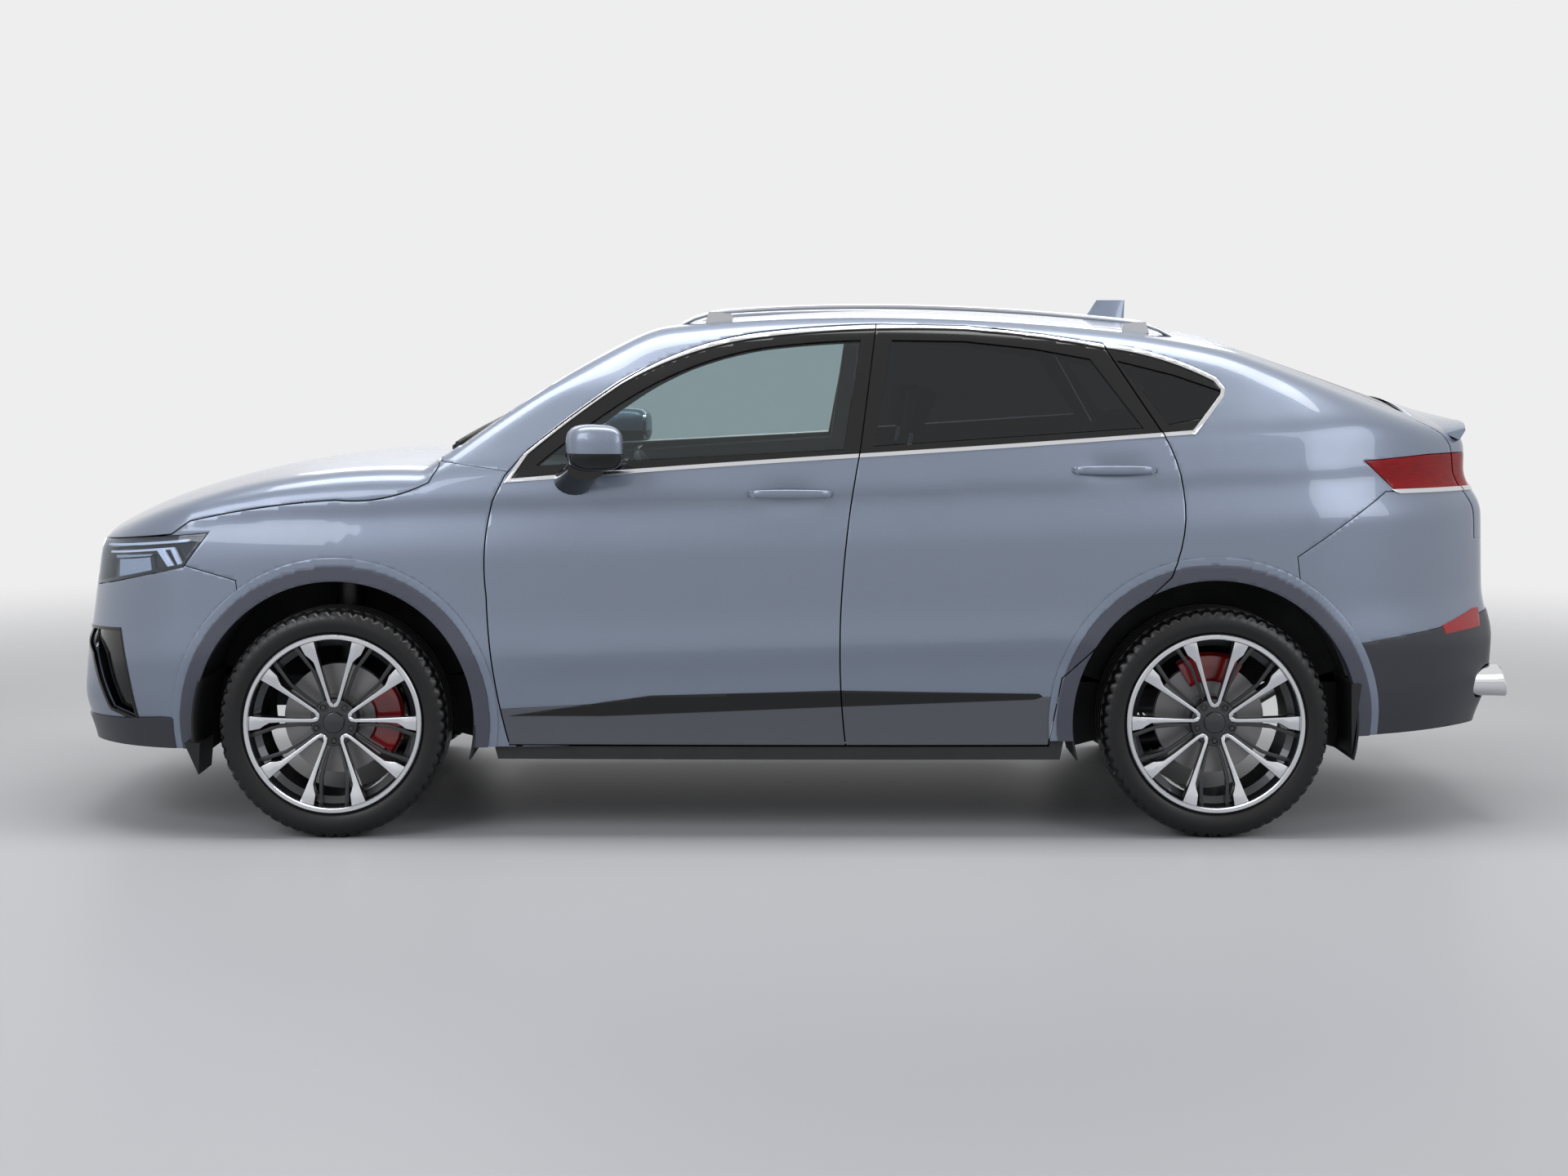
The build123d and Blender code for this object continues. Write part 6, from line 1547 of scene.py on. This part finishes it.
@dataclass
class Wheels:
    """Tyres, alloy wheels with five pairs of flared spokes, discs and calipers."""

    pairs: int = 5
    face_hub: float = 0.084
    face_rim: float = 0.104
    cap: float = 0.033
    bolt_circle: float = 0.056
    tread_blocks: int = 60

    def tyre(self) -> Piece:
        """A tyre with ribs, grooves and a curved sidewall, about the Y axis."""
        half = TYRE_WIDTH / 2
        side = [(0.104, 0.2575), (0.1065, 0.272), (0.116, 0.282), (0.1195, 0.292),
                (0.1215, 0.305), (0.1205, 0.318), (0.1165, 0.331), (0.1085, 0.3415),
                (0.0955, 0.3475)]
        tread = []
        for edge in (0.060, 0.022, -0.016, -0.054):
            tread += [(edge + 0.0245, 0.3498), (edge + 0.0240, 0.3430), (edge + 0.0150, 0.3430),
                      (edge + 0.0145, 0.3500)]
        outline = side + tread + [(-y, r) for y, r in reversed(side)]
        outline = [(min(max(y, -half), half), r) for y, r in outline]
        obj = spun("tyre", outline, 240)
        mesh = bmesh.new()
        mesh.from_mesh(obj.data)
        for vertex in mesh.verts:  # blocks across the shoulders
            radius = (vertex.co.x ** 2 + vertex.co.z ** 2) ** 0.5
            turn = np.arctan2(vertex.co.z, vertex.co.x) / (2 * pi) * self.tread_blocks
            skew = turn + vertex.co.y * 3
            if radius > 0.339 and abs(vertex.co.y) > 0.075 and skew % 1 < 0.26:
                vertex.co.x *= 1 - 0.007 / radius
                vertex.co.z *= 1 - 0.007 / radius
        mesh.to_mesh(obj.data)
        mesh.free()
        return finished(obj, RUBBER, 24)

    def rim(self) -> Piece:
        """The barrel with its machined lip."""
        barrel = [(0.116, 0.268), (0.112, 0.262), (0.098, 0.258), (0.060, 0.252), (0.045, 0.232),
                  (-0.100, 0.232), (-0.108, 0.250), (-0.116, 0.268), (-0.116, 0.272),
                  (-0.104, 0.272), (-0.104, 0.257), (0.104, 0.257), (0.104, 0.2725)]
        dark = dressed(spun("barrel", barrel, 160), RIM_DARK)
        lip = [(0.1155, 0.2575), (0.1185, 0.2600), (0.1185, 0.2700), (0.1150, 0.2735),
               (0.104, 0.2735), (0.104, 0.2575)]
        bright = dressed(spun("lip", lip, 160), MACHINED)
        return joined("rim", [smoothed(dark), smoothed(bright)])

    def spoke_outline(self, side: int) -> Array:
        """One spoke's face outline about the pair's middle line, as (radius, cross) points.

        The spokes of a pair meet in a point at the hub and flare out at the rim.
        """
        inner = [(0.257, 0.0600), (0.213, 0.0500), (0.150, 0.0335), (0.100, 0.0200),
                 (0.064, 0.0090), (0.056, 0.0000)]
        outer = [(0.046, 0.0000), (0.050, 0.0120), (0.064, 0.0195), (0.100, 0.0305),
                 (0.150, 0.0465), (0.186, 0.0600), (0.198, 0.0720), (0.208, 0.0850),
                 (0.242, 0.1030)]
        return np.array([(r, side * c) for r, c in inner + outer])

    def solid_spoke(self, outline: Array, turn: float, drop: float, depth: float,
                    shrink: float = 0) -> Piece:
        """A flat outline stood off along Y on the dished face of the wheel."""
        if shrink:
            outline = grown(outline, shrink)
        rings = []
        for level in (0, 1):
            ring = []
            for radius, cross in outline:
                reach = (radius ** 2 + cross ** 2) ** 0.5
                face = np.interp(reach, [0.04, 0.12, 0.262], [self.face_hub, 0.088, self.face_rim])
                place = Vector((cross, face - drop - level * depth, radius))
                ring.append(Matrix.Rotation(turn, 3, "Y") @ place)
            rings.append(ring)
        return lofted("spoke", rings)

    def wheel(self) -> Piece:
        """The whole alloy wheel with its disc, about the Y axis."""
        parts = [self.rim()]
        for i in range(self.pairs):
            turn = 2 * pi * i / self.pairs
            for side in (-1, 1):
                outline = self.spoke_outline(side)
                bright = self.solid_spoke(outline, turn, 0, 0.004)
                dark = self.solid_spoke(outline, turn, 0.004, 0.036, 0.0008)
                rib = np.array([(0.228, 0.125), (0.234, 0.112), (0.160, 0.060), (0.100, 0.038),
                                (0.060, 0.026), (0.060, 0.034), (0.100, 0.047), (0.160, 0.072)])
                second = self.solid_spoke(rib * np.array([1, side]), turn, 0.020, 0.022)
                for piece, finish in ((bright, MACHINED), (dark, RIM_DARK), (second, RIM_DARK)):
                    bevelled(piece, 0.0012)
                    parts.append(finished(piece, finish))
            well = spun("well", [(0.072, 0), (0.072, 0.0085), (0.081, 0.0100), (0.081, 0.0135),
                                 (0.050, 0.0135), (0.050, 0)], 24)
            bolt = spun("bolt", [(0.084, 0), (0.084, 0.0070), (0.082, 0.0082), (0.060, 0.0082),
                                 (0.060, 0)], 6)
            angle = 2 * pi * (i + 0.5) / self.pairs
            for piece, finish in ((well, RIM_DARK), (bolt, HUB_STEEL)):
                piece.data.transform(Matrix.Translation((self.bolt_circle * sin(angle), 0,
                                                         self.bolt_circle * cos(angle))))
                parts.append(finished(piece, finish))
        hub = spun("hub", [(0.078, 0), (0.078, 0.048), (0.074, 0.070), (0.060, 0.076),
                           (0.0, 0.076), (0.0, 0.034), (0.040, 0.034), (0.040, 0)], 60)
        cap = spun("cap", [(0.091, 0), (0.091, 0.026), (0.0895, 0.0305), (0.086, self.cap),
                           (0.076, self.cap), (0.076, 0)], 60)
        disc = spun("disc", [(-0.020, 0.0775), (-0.020, 0.169), (-0.0225, 0.170), (-0.029, 0.170),
                             (-0.031, 0.166), (-0.035, 0.166), (-0.037, 0.170), (-0.044, 0.170),
                             (-0.046, 0.168), (-0.046, 0.096), (-0.030, 0.034), (-0.0005, 0.034),
                             (-0.0005, 0.0775)], 120)
        for piece, finish in ((hub, RIM_DARK), (cap, RIM_DARK), (disc, DISC_IRON)):
            parts.append(finished(piece, finish))
        return joined("wheel", parts)

    def caliper(self, angle: float) -> Piece:
        """A caliper that straddles the disc, centred at an angle from straight up."""
        section = [(-0.082, 0.112), (-0.049, 0.112), (-0.049, 0.1735), (-0.017, 0.1735),
                   (-0.017, 0.116), (0.004, 0.116), (0.008, 0.130), (0.008, 0.196),
                   (-0.004, 0.206), (-0.078, 0.206), (-0.084, 0.198)]
        rings = []
        for share in np.linspace(-1, 1, 25):
            turn = radians(angle + share * 31.5)
            pinch = 1 - 0.05 * max(0, abs(share) - 0.6)
            rings.append([(r * pinch * sin(turn), y, r * pinch * cos(turn)) for y, r in section])
        obj = lofted("caliper", rings)
        bevelled(obj, 0.003)
        return finished(obj, CALIPER_RED)

    def build(self) -> None:
        """Place the four wheels with their tyres and calipers."""
        tyre, wheel = self.tyre(), self.wheel()
        for place, axle_x, angle in (("front", FRONT_AXLE_X, -90.0), ("rear", REAR_AXLE_X, 0.0)):
            caliper = self.caliper(angle)
            for side in ("left", "right"):
                move = Matrix.Translation((axle_x, TRACK_HALF, TYRE_RADIUS))
                made = []
                for name, source in (("tyre_tread", tyre), ("alloy", wheel), ("caliper", caliper)):
                    piece = copied(source)
                    piece.data.transform(move)
                    if side == "right":
                        flipped(piece)
                    piece.name = f"{name}_{place}_{side}"
                    made.append(piece)
                ridden(made[0], f"wheel_{place}_{side}", f"tyre_{place}_{side}")
                ridden(made[1], f"wheel_{place}_{side}", f"wheel_{place}_{side}")
                ridden(made[2], f"knuckle_{side}" if place == "front" else "root")
            bpy.data.objects.remove(caliper)
        for source in (tyre, wheel):
            bpy.data.objects.remove(source)


def spun(name: str, outline: list, steps: int) -> Piece:
    """A closed outline of (offset, radius) points turned about the Y axis."""
    return ringed(name, [[(r * sin(t), y, r * cos(t)) for y, r in outline]
                         for t in round_turns(steps)])


@dataclass
class Cabin:
    """Seats, linings and instruments inside."""

    seat_width: float = 0.505
    seat_y: float = 0.375

    def pad(self, name: str, outline: list, width: float, middle: float, crown: float,
            bolster: float, channels: int = 0) -> Piece:
        """A crowned upholstered form drawn across from a side outline.

        Args:
            name: the piece's name.
            outline: shares of its side outline, along and up.
            width: how wide it is.
            middle: where its middle lies.
            crown: by how much its ends pull in.
            bolster: how far its side bolsters stand.
            channels: sewn channels across it.

        Returns:
            The piece.
        """
        points = np.array([(along(x), up(z)) for x, z in outline])
        closed = np.vstack([points, points[:1]])
        length = np.r_[0, np.cumsum(np.hypot(*np.diff(closed, axis=0).T))]
        even = np.linspace(0, length[-1], 120, endpoint=False)
        ring = np.column_stack([np.interp(even, length, closed[:, i]) for i in (0, 1)])
        for _ in range(5):
            ring = (np.roll(ring, 1, 0) + ring * 2 + np.roll(ring, -1, 0)) / 4
        rings = []
        for share in np.linspace(-1, 1, 45):
            size = abs(share)
            pull = crown * max(0, (size - 0.72) / 0.28) ** 2.4
            side = bolster * np.clip((size - 0.50) / 0.16, 0, 1) * (1 - max(0, size - 0.8) * 2)
            seam = 0.006 * np.exp(-((size - 0.55) / 0.018) ** 2)
            wave = 0.004 * np.cos(even / length[-1] * 2 * pi * channels) if channels else 0
            drawn = grown(ring, side - pull - seam)
            if channels and size < 0.52:
                drawn = drawn + (grown(ring, 1.0) - ring) * np.reshape(wave, (-1, 1))
            rings.append([(x, middle + share * width / 2, z) for x, z in drawn])
        piece = dressed(lofted(name, rings), LEATHER)
        smooth(piece, 50)
        return piece

    def front_seats(self) -> None:
        """Both front seats with their head rests and frames."""
        cushion = [(0.622, 0.335), (0.622, 0.380), (0.612, 0.400), (0.475, 0.372),
                   (0.460, 0.335), (0.500, 0.320)]
        back = [(0.463, 0.378), (0.449, 0.338), (0.405, 0.355), (0.332, 0.690),
                (0.343, 0.710), (0.370, 0.700)]
        rest = [(0.343, 0.747), (0.325, 0.737), (0.303, 0.818), (0.313, 0.836), (0.338, 0.826)]
        for side, flip in (("left", 1), ("right", -1)):
            middle, node = flip * self.seat_y, f"front_seat_{side}"
            for name, table, width, crown, bolster, channels in (
                    ("cushion", cushion, self.seat_width, 0.030, 0.014, 22),
                    ("back", back, self.seat_width, 0.036, 0.016, 26),
                    ("head_rest", rest, 0.250, 0.030, 0.0, 0)):
                ridden(self.pad(f"seat_{name}_{side}", table, width, middle, crown, bolster,
                                channels), "root", node)
            posts = []
            for offset in (-0.062, 0.062):
                posts.append(finished(rod("post", (
                    along(0.336), middle + offset, up(0.700)), (along(0.325), middle + offset,
                                                                up(0.790)), 0.007),
                    CHROME))
            base = finished(lofted("seat_base", [[
                (along(x), y, z) for x, y in ((0.605, middle - 0.17), (0.605, middle + 0.17),
                                              (0.455, middle + 0.17), (0.455, middle - 0.17))]
                for z in (up(0.207), up(0.330))]), GRAINED)
            ridden(joined(f"seat_frame_{side}", [*posts, base]), "root", node)

    def rear_bench(self) -> None:
        """The bench with its back."""
        cushion = [(0.222, 0.342), (0.225, 0.396), (0.212, 0.415), (0.085, 0.392),
                   (0.070, 0.358), (0.090, 0.343)]
        back = [(0.078, 0.398), (0.062, 0.360), (0.014, 0.380), (-0.080, 0.680),
                (-0.070, 0.701), (-0.038, 0.692)]
        ridden(self.pad("rear_cushion", cushion, 1.22, 0, 0.030, 0.006, 22), "root", "rear_seat")
        ridden(self.pad("rear_back", back, 1.13, 0, 0.032, 0.006, 26), "root", "rear_seat")

    def linings(self) -> None:
        """Headliner and the screens on the dashboard."""
        liner = sheet(Sheet.ACROSS, (-1.30, 0.40, 50), (52, 128, 40), 0.045)
        screen = Cut.end(WINDSCREEN_SHARES, 0.03, along(WINDSCREEN_HEAD_SHARE), REACH)
        liner = walled(liner, [], [screen], HEADLINER, 0.006)
        liner.name = "headliner"
        ridden(liner, "root")
        parts = []
        for x, y, z, deep, wide, high in ((along(0.674), 0.0, up(0.672), 0.012, 0.300, 0.118),
                                          (along(0.682), 0.375, up(0.664), 0.014, 0.270, 0.090)):
            bpy.ops.mesh.primitive_cube_add(size=1, location=(x, y, z), rotation=(0, -0.25, 0),
                                            scale=(deep, wide, high))
            panel = placed(bpy.context.object)
            modify(panel, "BEVEL", width=0.005, segments=3)
            parts.append(finished(panel, GLOSS_BLACK))
        ridden(joined("display_panels", parts), "root")

    def build(self) -> None:
        """Make the cabin."""
        self.front_seats()
        self.rear_bench()
        self.linings()


def rod(name: str, start: tuple, end: tuple, radius: float, count: int = 20
        ) -> Piece:
    """A round bar between two points."""
    start, end = Vector(start), Vector(end)
    axis = (end - start).normalized()
    side = axis.orthogonal().normalized()
    other = axis.cross(side)
    rings = [[tuple(point + side * cos(t) * radius + other * sin(t) * radius)
              for t in round_turns(count)] for point in (start, end)]
    return lofted(name, rings)


CAD_FINISHES = {
    "pillars": GRAINED, "floor_pan": CARPET, "wheel_liners": UNDERSEAL, "engine": ENGINE,
    "exhaust": EXHAUST, "front_subframe": HUB_STEEL, "rear_axle": HUB_STEEL,
    "knuckle_left": HUB_STEEL, "knuckle_right": HUB_STEEL, "dashboard": DASH,
    "steering_wheel": LEATHER, "grille": GLOSS_BLACK}


@dataclass
class Studio:
    """Pale floor, soft lamps and the camera of the photograph."""

    eye: tuple = (0.100, 8.573, 1.511)
    lens: float = 57.6
    shift: tuple = (33 / 1920, -299 / 1920)
    floor_colour: str = "#bcbcbc"
    back_colour: str = "#eeeeef"

    def floor(self) -> None:
        """A round floor that fades into the background."""
        deselect()
        bpy.ops.mesh.primitive_circle_add(vertices=96, radius=9.0, fill_type="NGON")
        floor = bpy.context.object
        floor.name = "floor"
        material = bpy.data.materials.new("pale_matt_floor")
        tree = fresh_tree(material)
        place = add_node(tree, "ShaderNodeTexCoord").outputs["Object"]
        far = add_node(tree, "ShaderNodeVectorMath", {0: place}, operation="LENGTH")
        fade = add_node(tree, "ShaderNodeMapRange", {
            "Value": far.outputs["Value"], "From Min": 3.2, "From Max": 8.8},
            interpolation_type="SMOOTHSTEP")
        matt = add_node(tree, "ShaderNodeBsdfPrincipled", {
            "Base Color": linear(self.floor_colour), "Roughness": 0.45,
            "Specular IOR Level": 0.25})
        gone = add_node(tree, "ShaderNodeBsdfTransparent")
        mixed(tree, fade.outputs[0], matt, gone)
        floor.data.materials.append(material)

    def world(self) -> None:
        """A pale background, and softer light from all round."""
        world = bpy.data.worlds.new("studio")
        bpy.context.scene.world = world
        tree = fresh_tree(world)
        ambient = add_node(tree, "ShaderNodeBackground", {"Color": linear("#dfe6f2"),
                                                          "Strength": 0.30})
        seen = add_node(tree, "ShaderNodeBackground", {"Color": linear(self.back_colour),
                                                       "Strength": 1.0})
        ray = add_node(tree, "ShaderNodeLightPath")
        first = add_node(tree, "ShaderNodeMath", {0: ray.outputs["Is Camera Ray"],
                                                  1: ray.outputs["Is Glossy Ray"]},
                         operation="MAXIMUM")
        either = add_node(tree, "ShaderNodeMath", {0: first.outputs[0],
                                                   1: ray.outputs["Is Transmission Ray"]},
                          operation="MAXIMUM")
        mixed(tree, either.outputs[0], ambient, seen, "ShaderNodeOutputWorld")

    def lamp(self, name: str, place: tuple, target: tuple, size: tuple, power: float,
             colour: str = "#ffffff") -> None:
        """A soft rectangular lamp aimed at a point."""
        data = bpy.data.lights.new(name, "AREA")
        data.shape, data.size, data.size_y = "RECTANGLE", *size
        data.energy, data.color = power, linear(colour)[:3]
        lamp = bpy.data.objects.new(name, data)
        lamp.location = place
        lamp.rotation_euler = (Vector(target) - Vector(place)).to_track_quat("-Z", "Y").to_euler()
        bpy.context.scene.collection.objects.link(lamp)

    def build(self) -> None:
        """Set the floor, lamps, background and camera."""
        self.floor()
        self.world()
        self.lamp("overhead", (0.0, 0.6, 4.6), (0, 0, 0.5), (6.0, 1.6), 190)
        self.lamp("front_key", (4.2, 5.2, 3.8), (0.6, 0, 0.7), (3.8, 3.2), 150, "#f4f7ff")
        self.lamp("rear_key", (-4.6, 4.6, 3.4), (-0.8, 0, 0.7), (3.8, 3.2), 110, "#f4f7ff")
        self.lamp("behind", (0.0, -4.8, 3.6), (0, 0, 0.8), (6.0, 2.0), 110)
        bpy.context.scene.view_settings.view_transform = "Standard"
        data = bpy.data.cameras.new("camera")
        data.lens, data.sensor_width = self.lens, 36
        data.shift_x, data.shift_y = self.shift
        data.clip_end = 100
        camera = bpy.data.objects.new("camera", data)
        camera.location = self.eye
        camera.rotation_euler = (pi / 2, 0, pi)
        bpy.context.scene.collection.objects.link(camera)
        bpy.context.scene.camera = camera


def main() -> None:
    """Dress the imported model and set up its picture."""
    logging.basicConfig(level=logging.INFO, format="%(message)s")
    shell = Shell()
    for job in (shell.bonnet, shell.fenders, shell.front, shell.sides, shell.arches, shell.roof,
                shell.rear, shell.rails, Doors().build, Mirrors().build, Wheels().build,
                Cabin().build, Studio().build):
        job()
    for node, finish in CAD_FINISHES.items():
        dressed(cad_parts[node], finish)


if __name__ == "__main__":
    main()
